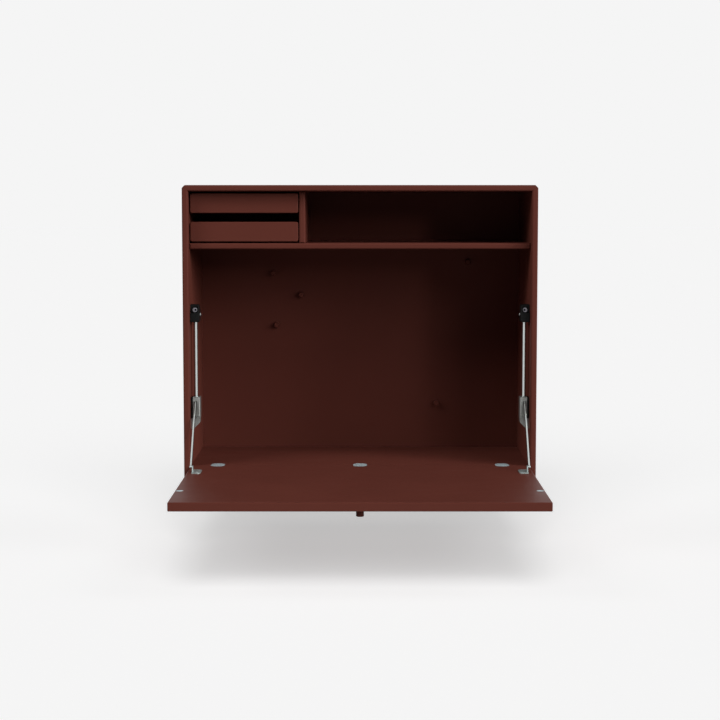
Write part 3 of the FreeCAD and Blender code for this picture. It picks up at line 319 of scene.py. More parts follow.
@dataclass
class Plated(Finish):
    """A plated metal: how rough it is, and the lines of its brushing or drawing."""

    roughness: float
    spread: float
    grain: Grain
    line_depth: float
    metal: float
    smudge: float = 0.04

    def paint(self) -> None:
        """Build the metal: fine lines, and clouds that smudge its sheen."""
        lines = self.noise(2600.0, 3.0, 0.6, self.grain.value)
        cloud = self.noise(85.0, 4.0, 0.6)
        tint = self.laid(0.94, 1.05, cloud, (0.3, 0.72))
        share = self.smudge / self.spread
        sheen = (self.roughness - self.spread, self.roughness + self.spread)
        worn = self.ranged(self.added(lines, cloud, share), (0.35, 0.62 + 0.6 * share), sheen)
        brushed = self.laid(tint, 0.82, lines, (0.35, 0.65), 0.35)
        self.coat(brushed, worn, lines, self.line_depth, Metallic=self.metal)


@dataclass
class CastZinc(Finish):
    """Die cast zinc, satin tumbled, with the fine pits of the mould."""

    sheen: Range = (0.36, 0.52)
    metal: float = 0.7

    def paint(self) -> None:
        """Build the casting: clouds, and darker pits."""
        pits, cloud = self.noise(1900.0, 3.0, 0.65), self.noise(130.0, 4.0)
        tint = self.laid(0.86, 1.1, cloud, (0.3, 0.7))
        pitted = self.laid(tint, 0.55, pits, (0.56, 0.75), 0.5)
        worn = self.ranged(self.added(cloud, pits, 0.5), (0.5, 1.0), self.sheen)
        self.coat(pitted, worn, pits, 0.02, Metallic=self.metal)


@dataclass
class Spangled(Finish):
    """Galvanised sheet with the pale crystal flakes of its zinc."""

    flakes: float = 130.0
    sheen: Range = (0.3, 0.52)

    def paint(self) -> None:
        """Build the sheet: flakes of several greys under a fine frost."""
        cells = self.node("ShaderNodeTexVoronoi", {"Vector": self.place, "Scale": self.flakes})
        flake = self.node("ShaderNodeRGBToBW", {"Color": cells.outputs["Color"]}).outputs["Val"]
        frost = self.noise(900.0, 3.0)
        tint = self.laid(0.74, 1.12, flake, (0.2, 0.8))
        worn = self.ranged(self.added(flake, frost, 0.4), (0.3, 1.1), self.sheen)
        self.coat(self.laid(tint, 0.9, frost, (0.3, 0.7), 0.3), worn, frost, 0.01, Metallic=1.0)


@dataclass
class Moulded(Finish):
    """A moulded plastic with the fine grain that the mould leaves."""

    sheen: Range = (0.35, 0.52)
    index: float = 1.2

    def paint(self) -> None:
        """Build the plastic: a fine grain, and paler scuffs."""
        grain, scuff = self.noise(2400.0, 3.0, 0.6), self.noise(160.0, 4.0)
        worn = self.ranged(self.added(scuff, grain, 0.4), (0.4, 1.0), self.sheen)
        self.coat(self.laid(1.0, 1.7, scuff, (0.45, 0.75)), worn, grain, 0.018, IOR=self.index)


@dataclass
class Beech(Finish):
    """Planed beech with its long fibres and short dark flecks."""

    fibre_stretch: Colour = (0.06, 1.0, 1.0)
    fleck_stretch: Colour = (0.14, 1.0, 1.0)
    sheen: Range = (0.5, 0.66)

    def paint(self) -> None:
        """Build the wood: fibres for its colour and its relief, and flecks over them."""
        fibre = self.noise(700.0, 4.0, stretch=self.fibre_stretch)
        fleck = self.noise(1500.0, 1.0, stretch=self.fleck_stretch)
        wood = self.laid(0.84, 1.08, fibre, (0.3, 0.7))
        flecked = self.laid(wood, 0.55, fleck, (0.62, 0.7), 0.6)
        self.coat(flecked, self.ranged(fibre, (0.3, 0.7), self.sheen), fibre, 0.03)


def finishes() -> dict[str, bpy.types.Material]:
    """Build every finish once.

    Returns:
        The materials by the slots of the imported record.
    """
    made = {
        "lacquer": Lacquer("lacquer_brown_red", (0.102, 0.0281, 0.02)),
        "pan_paint": PowderCoat("powder_coat_brown_red", (0.089, 0.0252, 0.0194)),
        "beech": Beech("beech_dowel", (0.578, 0.352, 0.156)),
        "chrome": Plated("chrome_drawn", (0.6, 0.64, 0.63), 0.1, 0.03, Grain.ALONG_Z, 0.0006, 0.95),
        "zinc": CastZinc("zinc_die_cast", (0.27, 0.28, 0.265)),
        "satin_nickel": Plated("nickel_satin", (0.47, 0.57, 0.6), 0.45, 0.06, Grain.ALONG_X, 0.004, 0.45),
        "nickel_plate": Plated("nickel_bright", (0.37, 0.44, 0.43), 0.34, 0.06, Grain.ALONG_Y, 0.003, 0.6),
        "magnet": Plated("magnet_nickel", (0.21, 0.205, 0.23), 0.36, 0.07, Grain.NONE, 0.004, 0.7),
        "steel": Plated("screw_zinc_plated", (0.36, 0.38, 0.38), 0.42, 0.06, Grain.NONE, 0.004, 0.75),
        "galvanised": Spangled("sheet_galvanised", (0.46, 0.48, 0.49)),
        "black_plastic": Moulded("plastic_black", (0.0042, 0.0044, 0.0044)),
    }
    for finish in made.values():
        finish.paint()
    return {slot: finish.material for slot, finish in made.items()}


# ---- shapes


def placed(name: str, data: bpy.types.ID) -> bpy.types.Object:
    """Put a new object with its mesh, lamp or camera data into the scene."""
    bpy.context.scene.collection.objects.link(thing := bpy.data.objects.new(name, data))
    return thing


def spans(edge: Edge, first: Vector, second: Vector) -> bool:
    """Tell whether an edge runs between two points, either way round."""
    start, end = (vert.co for vert in edge.verts)
    return min((start - a).length + (end - b).length for a, b in ((first, second), (second, first))) < TOUCH


def lies_at(axis: Axis, value: float) -> Callable[[Edge], bool]:
    """Give a test for edges that lie at a place along an axis."""
    return lambda edge: all(abs(vert.co[axis.value] - value) < TOUCH for vert in edge.verts)


def oblong(
    left: float, low: float, right: float, high: float, ease: float = 0.0, far: float = 0.0
) -> list[Corner]:
    """Give a rectangle's corners for a plate, rounded by one radius on its left and another on its right."""
    return [(left, low, ease), (right, low, far), (right, high, far), (left, high, ease)]


def there_and_back(end: Profile, length: float) -> Profile:
    """Give a whole profile of a length whose two ends are alike."""
    return end + [(across, length - height) for across, height in reversed(end)]


class Shape:
    """A mesh under construction, in millimetres of the desk's frame."""

    def __init__(self) -> None:
        """Start an empty shape."""
        self.mesh = bmesh.new()

    def data(self, name: str) -> bpy.types.Mesh:
        """Give the shape as new mesh data of a name."""
        self.mesh.to_mesh(made := bpy.data.meshes.new(name))
        return made

    def block(self, low: Corner, high: Corner) -> Self:
        """Add a box between two corners."""
        return self.plate(Axis.Z, oblong(low[0], low[1], high[0], high[1]), low[2], high[2])

    def plate(self, axis: Axis, corners: list[Corner], start: float, end: float) -> Self:
        """Add a plate with a drawn outline whose corners are rounded.

        Args:
            axis: The axis square to the outline.
            corners: Each corner's two coordinates and the radius that rounds it.
            start: The plate's first face along the axis.
            end: Its other face.

        Returns:
            The shape itself.
        """
        flat = [self.mesh.verts.new(axis.point(across, upward, start)) for across, upward, _ in corners]
        face = self.mesh.faces.new(flat)
        raised = bmesh.ops.extrude_face_region(self.mesh, geom=[face])["geom"]
        moved = [item for item in raised if isinstance(item, bmesh.types.BMVert)]
        bmesh.ops.translate(self.mesh, verts=moved, vec=axis.unit() * (end - start))
        self.mesh.normal_update()
        for across, upward, radius in corners:
            if radius > 0:
                foot, head = axis.point(across, upward, start), axis.point(across, upward, end)
                self.soften(lambda edge: spans(edge, foot, head), radius, 8)
        return self.mended()

    def turned(self, axis: Axis, foot: Corner, profile: Profile, steps: int = 48) -> Self:
        """Add a turned form.

        Args:
            axis: The axis that it is turned about.
            foot: A point on that axis, from which heights are measured.
            profile: Each point's radius and height. The form is closed flat at both ends.
            steps: Flats round the form.

        Returns:
            The shape itself.
        """
        own = Shape()
        origin, along = Vector(foot), axis.unit()
        across = Axis.X.unit() if axis is not Axis.X else Axis.Y.unit()
        closed = [(0.0, profile[0][1]), *profile, (0.0, profile[-1][1])]
        points = [own.mesh.verts.new(origin + across * radius + along * height) for radius, height in closed]
        edges = [own.mesh.edges.new(pair) for pair in zip(points, points[1:])]
        bmesh.ops.spin(
            own.mesh, geom=points + edges, cent=origin, axis=along, dvec=(0.0, 0.0, 0.0), angle=math.tau,
            space=Matrix.Identity(4), steps=steps, use_merge=True, use_normal_flip=False, use_duplicate=False,
        )
        return self.absorb(own.mended())

    def rod(self, axis: Axis, foot: Corner, radius: float, length: float, ease: float, steps: int) -> Self:
        """Add a round bar.

        Args:
            axis: The axis that it lies along.
            foot: The middle of its first end.
            radius: Its radius.
            length: Its length.
            ease: The leg of the chamfers at its ends.
            steps: Flats round the bar.

        Returns:
            The shape itself.
        """
        end = [(radius - ease, 0.0), (radius - ease * 0.3, ease * 0.3), (radius, ease)]
        return self.turned(axis, foot, there_and_back(end, length), steps)

    def bar(self, x: float, centre: Vector, radius: float, length: float, steps: int = 32) -> Self:
        """Add a plain round bar along X from a place, centred in Y and Z on a point, to cut a bore with."""
        return self.rod(Axis.X, (x, centre.y, centre.z), radius, length, 0.01, steps)

    def hexagon(self, middle: Corner, radius: float, depth: float) -> Self:
        """Add an upright six sided bar, to cut a socket with.

        Args:
            middle: Its middle.
            radius: The radius of its corners.
            depth: Its length.

        Returns:
            The shape itself.
        """
        place = Matrix.Translation(middle)
        bmesh.ops.create_cone(
            self.mesh, cap_ends=True, segments=6, radius1=radius, radius2=radius, depth=depth, matrix=place
        )
        return self

    def soften(self, wanted: Callable[[Edge], bool], size: float, steps: int = 3) -> Self:
        """Round some edges.

        Args:
            wanted: The test that picks them.
            size: How far the rounding reaches from the edge.
            steps: Flats over the rounding.

        Returns:
            The shape itself.
        """
        edges = [edge for edge in self.mesh.edges if wanted(edge)]
        bmesh.ops.bevel(
            self.mesh, geom=edges, offset=size, offset_type="OFFSET", segments=steps, profile=0.5,
            affect="EDGES", material=-1, clamp_overlap=True,
        )
        return self

    def trim(self, point: Corner, outward: Corner) -> Self:
        """Cut off what lies beyond a plane, and close the cut.

        Args:
            point: A point on the plane.
            outward: The direction of what is cut off.

        Returns:
            The shape itself.
        """
        everything = [*self.mesh.verts, *self.mesh.edges, *self.mesh.faces]
        cut = bmesh.ops.bisect_plane(
            self.mesh, geom=everything, plane_co=Vector(point), plane_no=Vector(outward), clear_outer=True
        )["geom_cut"]
        rim = [item for item in cut if isinstance(item, bmesh.types.BMEdge)]
        bmesh.ops.holes_fill(self.mesh, edges=rim)
        return self.mended()

    def absorb(self, other: "Shape") -> Self:
        """Take another shape's mesh into this one.

        Args:
            other: The other shape.

        Returns:
            The shape itself.
        """
        carrier = other.data("carrier")
        self.mesh.from_mesh(carrier)
        bpy.data.meshes.remove(carrier)
        return self

    def carved(self, *cutters: "Shape") -> Self:
        """Cut other shapes out of this one."""
        return self.combined("DIFFERENCE", cutters)

    def joined(self, *others: "Shape") -> Self:
        """Join other shapes onto this one."""
        return self.combined("UNION", others)

    def combined(self, how: str, others: tuple["Shape", ...]) -> Self:
        """Combine this shape with others, one after another.

        Args:
            how: The Boolean modifier's operation.
            others: The other shapes.

        Returns:
            The shape itself.
        """
        for other in others:
            blank, cutter = placed("blank", self.data("blank")), placed("cutter", other.data("cutter"))
            modifier = blank.modifiers.new("carve", "BOOLEAN")
            modifier.operation, modifier.solver, modifier.object = how, "EXACT", cutter
            graph = bpy.context.evaluated_depsgraph_get()
            whole = bpy.data.meshes.new_from_object(blank.evaluated_get(graph))
            self.mesh.clear()
            self.mesh.from_mesh(whole)
            for data in (whole, blank.data, cutter.data):
                bpy.data.meshes.remove(data)
            self.mended()
        return self

    def mended(self) -> Self:
        """Merge doubles and turn all faces outwards.

        Returns:
            The shape itself.
        """
        bmesh.ops.remove_doubles(self.mesh, verts=self.mesh.verts, dist=WELD)
        bmesh.ops.recalc_face_normals(self.mesh, faces=self.mesh.faces)
        return self

    def moved(self, matrix: Matrix) -> Self:
        """Move, turn or scale the whole shape."""
        bmesh.ops.transform(self.mesh, matrix=matrix, verts=self.mesh.verts)
        return self

    def aimed(self, direction: Vector, foot: Vector) -> Self:
        """Turn an upright shape into a direction and set its origin on a point."""
        turn = Axis.Z.unit().rotation_difference(direction).to_matrix().to_4x4()
        return self.moved(Matrix.Translation(foot) @ turn)

    def mirrored(self, side: Side) -> Self:
        """Mirror a shape that was built for the right side, if it belongs on the left.

        Args:
            side: The side that it belongs on.

        Returns:
            The shape itself.
        """
        if side is Side.LEFT:
            self.moved(Matrix.Diagonal((-1.0, 1.0, 1.0, 1.0)))
            bmesh.ops.reverse_faces(self.mesh, faces=self.mesh.faces)
        return self


@dataclass(frozen=True)
class Workshop:
    """Turns shapes into the desk's pieces and dresses them. Edges that turn by more than crisp stay sharp."""

    materials: dict[str, bpy.types.Material]
    crisp: float = math.radians(32.0)

    def piece(self, node: str, suffix: str, shape: Shape, slot: str, body: str, extra: bool = False) -> None:
        """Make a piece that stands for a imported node, or a new one beside it.

        Args:
            node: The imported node, whose name the piece's name starts with.
            suffix: The end of the piece's name.
            shape: Its shape, in millimetres.
            slot: The record's material slot.
            body: The body that it rides on.
            extra: Whether it is new and stands for no node.
        """
        name = f"{node}_{suffix}"
        data = shape.moved(Matrix.Scale(MM, 4)).data(name)
        shape.mesh.free()
        data.shade_smooth()
        data.set_sharp_from_angle(angle=self.crisp)
        data.materials.append(self.materials[slot])
        thing = placed(name, data)
        thing.modifiers.new("even_shading", "WEIGHTED_NORMAL").keep_sharp = True
        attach(thing, body)
        if not extra:
            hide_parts(node)
        log.info("%s: %d faces, %s, rides on %s", name, len(data.polygons), slot, body)

    def dress(self, nodes: dict[str, bpy.types.Object], slots: dict[str, str]) -> None:
        """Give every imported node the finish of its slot.

        Args:
            nodes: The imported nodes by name.
            slots: The record's slot of each node.
        """
        for name, node in sorted(nodes.items()):
            for place in node.material_slots:
                place.material = self.materials[slots[name]]
            log.info("%s: finished in %s", name, slots[name])


# ---- fittings


@dataclass(frozen=True)
class Fitting:
    """A fitting of the desk, made in the workshop. Its sizes are in millimetres."""

    workshop: Workshop

    def build(self) -> None:
        """Build the fitting's pieces, which each fitting does in its own way."""
        raise NotImplementedError


@dataclass(frozen=True)
class Hinge(Fitting):
    """A flush flap hinge: two cups with set-in covers, and a pin in their knuckles."""

    name: str
    knuckle_half: float = 5.0
    knuckle_end: float = 10.0
    knuckle_radius: float = 2.0
    pin_radius: float = 1.25
    play: float = 0.3
    cup_radius: float = 14.0
    case_gap: float = 2.5
    flap_gap: float = 1.5
    beyond: float = 20.0

    def cup(self, span: Span, trim: float, outward: float) -> Shape:
        """Build a cup that is cut off straight beside the pin.

        Args:
            span: The node's box.
            trim: Y of the straight side.
            outward: The direction of the pin from the cup along Y, 1 or -1.

        Returns:
            The cup, with its cover set in a fine groove.
        """
        radius, depth = self.cup_radius, span.size.z
        centre_y = span.high.y - radius if outward < 0 else span.low.y + radius
        made = Shape().turned(Axis.Z, (span.middle.x, centre_y, span.low.z), [
            (radius - 0.6, 0.0), (radius - 0.15, 0.2), (radius, 0.7), (radius, depth - 0.35),
            (radius - 0.1, depth - 0.08), (radius - 0.3, depth), (radius - 1.05, depth),
            (radius - 1.15, depth - 0.1), (radius - 1.15, depth - 0.55), (radius - 1.5, depth - 0.55),
            (radius - 1.5, depth - 0.15), (radius - 1.75, depth),
        ], 96).trim((0.0, trim, 0.0), (0.0, outward, 0.0))
        on_side, on_top = lies_at(Axis.Y, trim), lies_at(Axis.Z, span.high.z)
        return made.soften(lambda edge: on_side(edge) and on_top(edge), 0.2, 2)

    def build(self) -> None:
        """Build the hinge's two cups and its pin."""
        parts = ("case_cup", "flap_cup", "pin")
        case_node, flap_node, pin_node = (f"{self.name}_hinge_{part}" for part in parts)
        pin = Span.of(pin_node)
        centre, radius, play = pin.middle, self.knuckle_radius, self.play
        middle, y, z = centre
        length = self.knuckle_end - self.knuckle_half
        starts = (middle - self.knuckle_end, middle + self.knuckle_half)
        reach = self.knuckle_end + 1.0
        bore = Shape().bar(middle - reach, centre, self.pin_radius + 0.05, 2 * reach, 64)

        case = self.cup(Span.of(case_node), y + self.case_gap, -1.0)
        outline = oblong(y - radius, z - radius, y + self.case_gap + 1.0, z + radius, radius - 0.05)
        case.joined(*(Shape().plate(Axis.X, outline, start, start + length) for start in starts)).carved(bore)
        self.workshop.piece(case_node, "cover", case, "satin_nickel", "case")

        flap = self.cup(Span.of(flap_node), y + self.flap_gap, 1.0)
        far_y, far_z = y + self.beyond, z + self.beyond
        flap.carved(*(Shape().block(
            (start - play, y - radius - play, z - radius - play), (start + length + play, far_y, far_z)
        ) for start in starts))
        flap.carved(Shape().block((middle - self.beyond, y, z), (middle + self.beyond, far_y, far_z)))
        half = self.knuckle_half - play
        flap.joined(Shape().rod(Axis.X, (middle - half, y, z), radius, 2 * half, 0.2, 40)).carved(bore)
        self.workshop.piece(flap_node, "cover", flap, "satin_nickel", "flap")

        made = Shape().rod(Axis.X, (pin.low.x, y, z), self.pin_radius, pin.size.x, 0.3, 32)
        self.workshop.piece(pin_node, "turned", made, "steel", "case")


@dataclass(frozen=True)
class StrikeDisc(Fitting):
    """A round steel disc for a catch magnet, let into the flap."""

    side: Side
    dish: float = 0.35
    socket_radius: float = 1.15

    def build(self) -> None:
        """Build the disc with its shallow dish and its countersunk screw."""
        node = f"{self.side.word}_strike_disc"
        span = Span.of(node)
        x, y, _ = span.middle
        radius, height = span.size.x / 2, span.size.z
        dished = height - self.dish
        disc = Shape().turned(Axis.Z, (x, y, span.low.z), [
            (radius - 0.2, 0.0), (radius, 0.2), (radius, height - 0.35),
            (radius - 0.12, height - 0.1), (radius - 0.4, height), (radius - 1.1, height),
            (radius - 1.5, height - self.dish * 0.4), (3.3, dished), (2.9, dished - 0.3), (2.5, dished - 0.3),
            (2.3, dished - 0.05), (0.0, dished + 0.05),
        ], 72)
        disc.carved(Shape().hexagon((x, y, span.high.z), self.socket_radius, 1.6))
        self.workshop.piece(node, "dished", disc, "satin_nickel", "flap")


@dataclass(frozen=True)
class Knob(Fitting):
    """The turned knob under the front of the flap."""

    rounding: float = 1.1

    def build(self) -> None:
        """Build the knob with a fine shadow groove under the flap."""
        span = Span.of("knob")
        radius, length, ease = span.size.x / 2, span.size.z, self.rounding
        knob = Shape().turned(Axis.Z, (span.middle.x, span.middle.y, span.low.z), [
            (radius - ease * 2.2, 0.0), (radius - ease, ease * 0.12),
            (radius - ease * 0.3, ease * 0.42), (radius, ease * 1.2), (radius, length - 1.1),
            (radius - 0.25, length - 0.85), (radius - 0.9, length - 0.8), (radius - 0.9, length),
        ], 96)
        self.workshop.piece("knob", "turned", knob, "lacquer", "flap")


@dataclass(frozen=True)
class Pegs(Fitting):
    """The round pegs in the back board, each by its place across and up."""

    radius: float = 6.0
    tenon_radius: float = 3.0
    tenon: float = 6.0
    places: tuple[tuple[float, float], ...] = (
        (-184.8, -135.0), (-124.9, -181.0), (-176.8, -245.0), (163.1, -412.0), (228.4, -111.0),
    )

    def build(self) -> None:
        """Build all the pegs as one piece."""
        span = Span.of("pegs")
        radius, thin, depth = self.radius, self.tenon_radius, span.size.y
        face = depth - self.tenon
        made = Shape()
        for across, upward in self.places:
            made.turned(Axis.Y, (across, span.low.y, upward), [
                (0.0, 0.0), (radius - 2.2, 0.06), (radius - 1.1, 0.35), (radius - 0.35, 0.95), (radius, 1.9),
                (radius, face - 0.3), (radius - 0.3, face), (thin, face), (thin, depth - 0.3),
                (thin - 0.3, depth),
            ], 56)
        self.workshop.piece("pegs", "turned", made, "lacquer", "case")


def foot_seat(across: float = 8.0, inward: float = 18.0) -> Vector:
    """Give the seat of the sunk screw in the right stay's foot, by its place from the foot's corner."""
    foot = Span.of("right_stay_foot")
    return Vector((foot.low.x + across, foot.low.y + inward, foot.middle.z))


@dataclass(frozen=True)
class Stay(Fitting):
    """A flap stay on one side: head, rod, foot, slider, arm and the bracket on the flap.

    Its shapes are built for the right side and mirrored for the left.
    """

    side: Side
    slot_width: float = 5.8
    slot_depth: float = 8.5
    pivot_radius: float = 1.25
    eye_radius: float = 3.0
    arm_radius: float = 1.95
    foot_bevel: float = 12.8
    foot_slimmer: float = 1.5
    panel_inset: float = 2.4
    slider_cap: float = 0.6
    groove_drop: float = 11.4
    groove_half: float = 0.7
    seam_inset: float = 1.4
    seam_half: float = 0.6
    glide_grooves: Range = (0.3, 0.7)
    ring_radius: float = 4.6
    ring_offset: tuple[float, float] = (0.4, -0.7)
    bore_offset: float = 1.2
    rod_start: float = 9.0
    rod_groove: float = 13.2
    bracket_sheet: float = 1.6
    rivet_cap: float = 0.3

    def node(self, part: str) -> str:
        """Give the name of one of the stay's nodes."""
        return f"{self.side.word}_{part}"

    def span(self, part: str) -> Span:
        """Give a node's box as it lies on the right side."""
        return Span.of(self.node(part)).outward()

    def piece(
        self, part: str, suffix: str, made: Shape, slot: str, body: str = "case", extra: bool = False
    ) -> None:
        """Make a piece of this side from a shape that was built for the right."""
        self.workshop.piece(self.node(part), suffix, made.mirrored(self.side), slot, body, extra)

    def build(self) -> None:
        """Build all the pieces of the stay."""
        self.head()
        self.magnet()
        self.rod()
        self.foot()
        self.slider()
        self.glide()
        self.arm()
        self.rivets()
        self.bracket()

    def head(self) -> None:
        """Build the black head: slanted on its inner side, with the magnet in an open recess."""
        span, rod, magnet = self.span("stay_head"), self.span("guide_rod"), self.span("catch_magnet")
        low, high, shelf = span.low, span.high, magnet.low.z - 0.6
        made = Shape().plate(Axis.Y, [
            (low.x + 1.1, low.z, 1.5), (high.x - 1.0, low.z, 1.0), (high.x, low.z + 9.0, 1.0),
            (high.x, high.z, 1.0), (low.x + 6.0, high.z, 2.0), (low.x + 1.1, high.z - 1.8, 1.5),
            (low.x, high.z - 16.0, 2.0), (low.x, low.z + 3.0, 2.0),
        ], low.y, high.y).soften(lies_at(Axis.Y, low.y), 0.8)
        recess = Shape().plate(Axis.Y, [
            (low.x + 2.4, shelf, 6.0), (high.x + 3.0, shelf, 0.0), (high.x + 3.0, high.z + 3.0, 0.0),
            (low.x + 3.6, high.z + 3.0, 0.0),
        ], low.y - 1.0, magnet.high.y)
        socket = Shape().turned(Axis.Z, (rod.middle.x, rod.middle.y, low.z - 2.0), [
            (5.2, 0.0), (5.2, 2.6), (4.05, 3.6), (4.05, 12.2),
        ])
        self.piece("stay_head", "moulded", made.carved(recess, socket), "black_plastic")

    def magnet(self) -> None:
        """Build the magnet: a ring that stands in the recess, with its bore a little off the middle."""
        span = self.span("catch_magnet")
        depth, ring = span.size.y, self.ring_radius
        across, upward = self.ring_offset
        x, z = span.middle.x + across, span.middle.z + upward
        made = Shape().turned(Axis.Y, (x, span.low.y, z), [
            (ring - 0.6, 0.0), (ring - 0.2, 0.2), (ring, 0.6), (ring, depth),
        ], 72)
        bore = Shape().turned(Axis.Y, (x - self.bore_offset, span.low.y - 1.0, z), [
            (2.6, 0.0), (2.3, 1.1), (2.1, 1.5), (2.1, depth + 2.0),
        ])
        self.piece("catch_magnet", "ring", made.carved(bore), "magnet")

    def rod(self) -> None:
        """Build the guide rod with its chamfered ends and a fine ring groove under the head."""
        span = self.span("guide_rod")
        radius, length = span.size.x / 2, span.size.z - self.rod_start
        groove = length - self.rod_groove
        made = Shape().turned(Axis.Z, (span.middle.x, span.middle.y, span.low.z + self.rod_start), [
            (radius - 0.6, 0.0), (radius, 0.6), (radius, groove), (radius - 0.3, groove + 0.12),
            (radius - 0.3, groove + 0.6), (radius, groove + 0.72), (radius, length - 0.6),
            (radius - 0.6, length),
        ], 96)
        self.piece("guide_rod", "drawn", made, "chrome")

    def foot(self) -> None:
        """Build the cast foot: bevelled below, with a sunk panel in front and holes for rod and screw."""
        span, rod = self.span("stay_foot"), self.span("guide_rod")
        low, high = span.low + Vector((self.foot_slimmer, 0.0, 0.0)), span.high
        bevel, inset = self.foot_bevel, self.panel_inset
        made = Shape().plate(Axis.Y, [
            (low.x + bevel, low.z, 0.8), (high.x, low.z, 0.5), (high.x, high.z, 0.5), (low.x, high.z, 0.8),
            (low.x, low.z + bevel, 0.8),
        ], low.y, high.y)
        made.soften(lies_at(Axis.Y, low.y), 0.7).soften(lies_at(Axis.Y, high.y), 0.4, 2)
        panel = Shape().plate(Axis.Y, [
            (low.x + bevel + inset * 0.4, low.z + inset, 0.8), (high.x - inset, low.z + inset, 0.8),
            (high.x - inset, high.z - inset, 0.8), (low.x + inset, high.z - inset, 0.8),
            (low.x + inset, low.z + bevel + inset * 0.4, 0.8),
        ], low.y - 1.0, low.y + 0.5)
        start, radius = rod.low.z + self.rod_start, rod.size.x / 2
        top = high.z - start
        hole = Shape().turned(Axis.Z, (rod.middle.x, rod.middle.y, start), [
            (radius + 0.03, 0.0), (radius + 0.03, top - 0.6), (radius + 0.6, top),
            (radius + 0.6, top + 7.5),
        ])
        seat = foot_seat()
        sink = Shape().bar(low.x - 1.0, seat, 3.5, seat.x - low.x + 1.0, 48)
        self.piece("stay_foot", "cast", made.carved(panel, hole, sink), "zinc")

    def slider(self) -> None:
        """Build the cast slider: two flanges with the arm's channel between them, bored for the rod."""
        span, rod, arm = self.span("slider"), self.span("guide_rod"), self.span("stay_arm")
        low, high = span.low, span.high
        inner, outer = arm.middle.x - self.slot_width / 2 - 0.7, arm.middle.x + self.slot_width / 2
        floor = low.y + self.slot_depth
        made = Shape().plate(Axis.Z, [
            (low.x, low.y, 2.2), (inner, low.y, 0.5), (inner, floor, 0.9), (outer, floor, 0.9),
            (outer, low.y, 0.4), (high.x, low.y, 0.7), (high.x, high.y, 0.5), (low.x, high.y, 2.2),
        ], low.z, high.z)
        made.soften(lies_at(Axis.Z, high.z), 0.5, 2).soften(lies_at(Axis.Z, low.z), 0.35, 2)
        cap_floor = self.span("slider_rivet").middle.z - 0.6
        cap_end = (outer + 0.4, low.y + self.slider_cap, high.z - 0.6)
        made.joined(Shape().block((inner - 0.6, low.y + 0.05, cap_floor), cap_end))
        level, seam, half = high.z - self.groove_drop, inner + self.seam_inset, self.groove_half
        groove_end = (high.x - 0.6, low.y + 3.0, level + half)
        groove = Shape().block((low.x + 3.0, low.y - 2.0, level - half), groove_end)
        split_end = (seam + self.seam_half, low.y + 0.5, high.z - 4.5)
        split = Shape().block((seam - self.seam_half, low.y - 1.0, level), split_end)
        panel = Shape().plate(Axis.Z, [
            (low.x + 2.6, low.y - 1.0, 0.0), (inner + 2.0, low.y - 1.0, 0.0), (inner + 2.0, low.y + 3.2, 0.0),
            (low.x + 2.6, low.y + 3.2, 0.4),
        ], low.z + 7.6, level - 1.8)
        joint = Shape().plate(Axis.Y, [
            (low.x - 1.0, low.z + 0.2, 0.0), (inner + 2.6, low.z + 3.4, 0.0), (inner + 2.6, low.z + 6.2, 0.0),
            (low.x - 1.0, low.z + 3.0, 0.0),
        ], low.y - 1.0, low.y + 6.4)
        radius, length = rod.size.x / 2 + 0.05, span.size.z + 2.0
        bore = Shape().turned(Axis.Z, (rod.middle.x, rod.middle.y, low.z - 1.0), [
            (radius, 0.0), (radius, length),
        ], 64)
        made.carved(groove, split, panel, joint, bore)
        self.piece("slider", "cast", made, "zinc", self.node("slider"))

    def glide(self) -> None:
        """Build the black glide with its rounded ends and shallow grooves."""
        span = self.span("slider_glide")
        low, high = span.low, span.high
        made = Shape().plate(Axis.X, oblong(low.y, low.z, high.y, high.z, 1.5, 1.5), low.x, high.x)
        made.soften(lies_at(Axis.X, high.x), 0.5, 2)
        for share in self.glide_grooves:
            level = low.z + share * span.size.z
            made.carved(Shape().block(
                (low.x + 2.0, low.y - 1.0, level - 0.6), (high.x + 1.0, low.y + 0.7, level + 0.6)
            ))
        self.piece("slider_glide", "moulded", made, "black_plastic", self.node("slider"))

    def arm(self) -> None:
        """Build the round arm between its two drilled eyes, and the cast sleeve below its upper eye."""
        span, upper = self.span("stay_arm"), self.span("slider_rivet").middle
        lower = Vector((upper.x, span.low.y + self.eye_radius, span.low.z + self.eye_radius))
        reach, wide, radius = upper - lower, span.size.x, self.arm_radius
        length, origin = reach.length, (0.0, 0.0, 0.0)
        made = Shape().turned(Axis.Z, origin, [
            (radius * 0.9, 0.2), (radius * 0.98, 3.6), (radius * 0.9, 5.0), (radius, 6.4),
            (radius, length - 6.4), (radius * 0.9, length - 5.0), (radius * 0.98, length - 3.6),
            (radius * 0.9, length - 0.2),
        ], 40)
        for height in (0.0, length):
            made.joined(Shape().rod(Axis.X, (-wide / 2, 0.0, height), self.eye_radius, wide, 0.35, 48))
        for height in (0.0, length):
            made.carved(Shape().bar(-wide, Vector((0.0, 0.0, height)), self.pivot_radius + 0.05, 2 * wide))
        self.piece("stay_arm", "drawn", made.aimed(reach, lower), "chrome", self.node("arm"))

        sleeve = Shape().turned(Axis.Z, origin, [
            (radius + 0.02, -36.0), (radius + 0.12, -35.7), (radius + 0.25, -34.0),
            (radius + 0.25, -26.0), (radius + 0.12, -25.0), (radius + 0.12, -24.0), (radius + 0.25, -23.0),
            (radius + 0.25, -5.4), (radius + 0.1, -4.4), (radius - 0.1, -3.4),
        ], 40)
        self.piece("stay_arm", "sleeve", sleeve.aimed(reach, upper), "zinc", self.node("arm"), True)

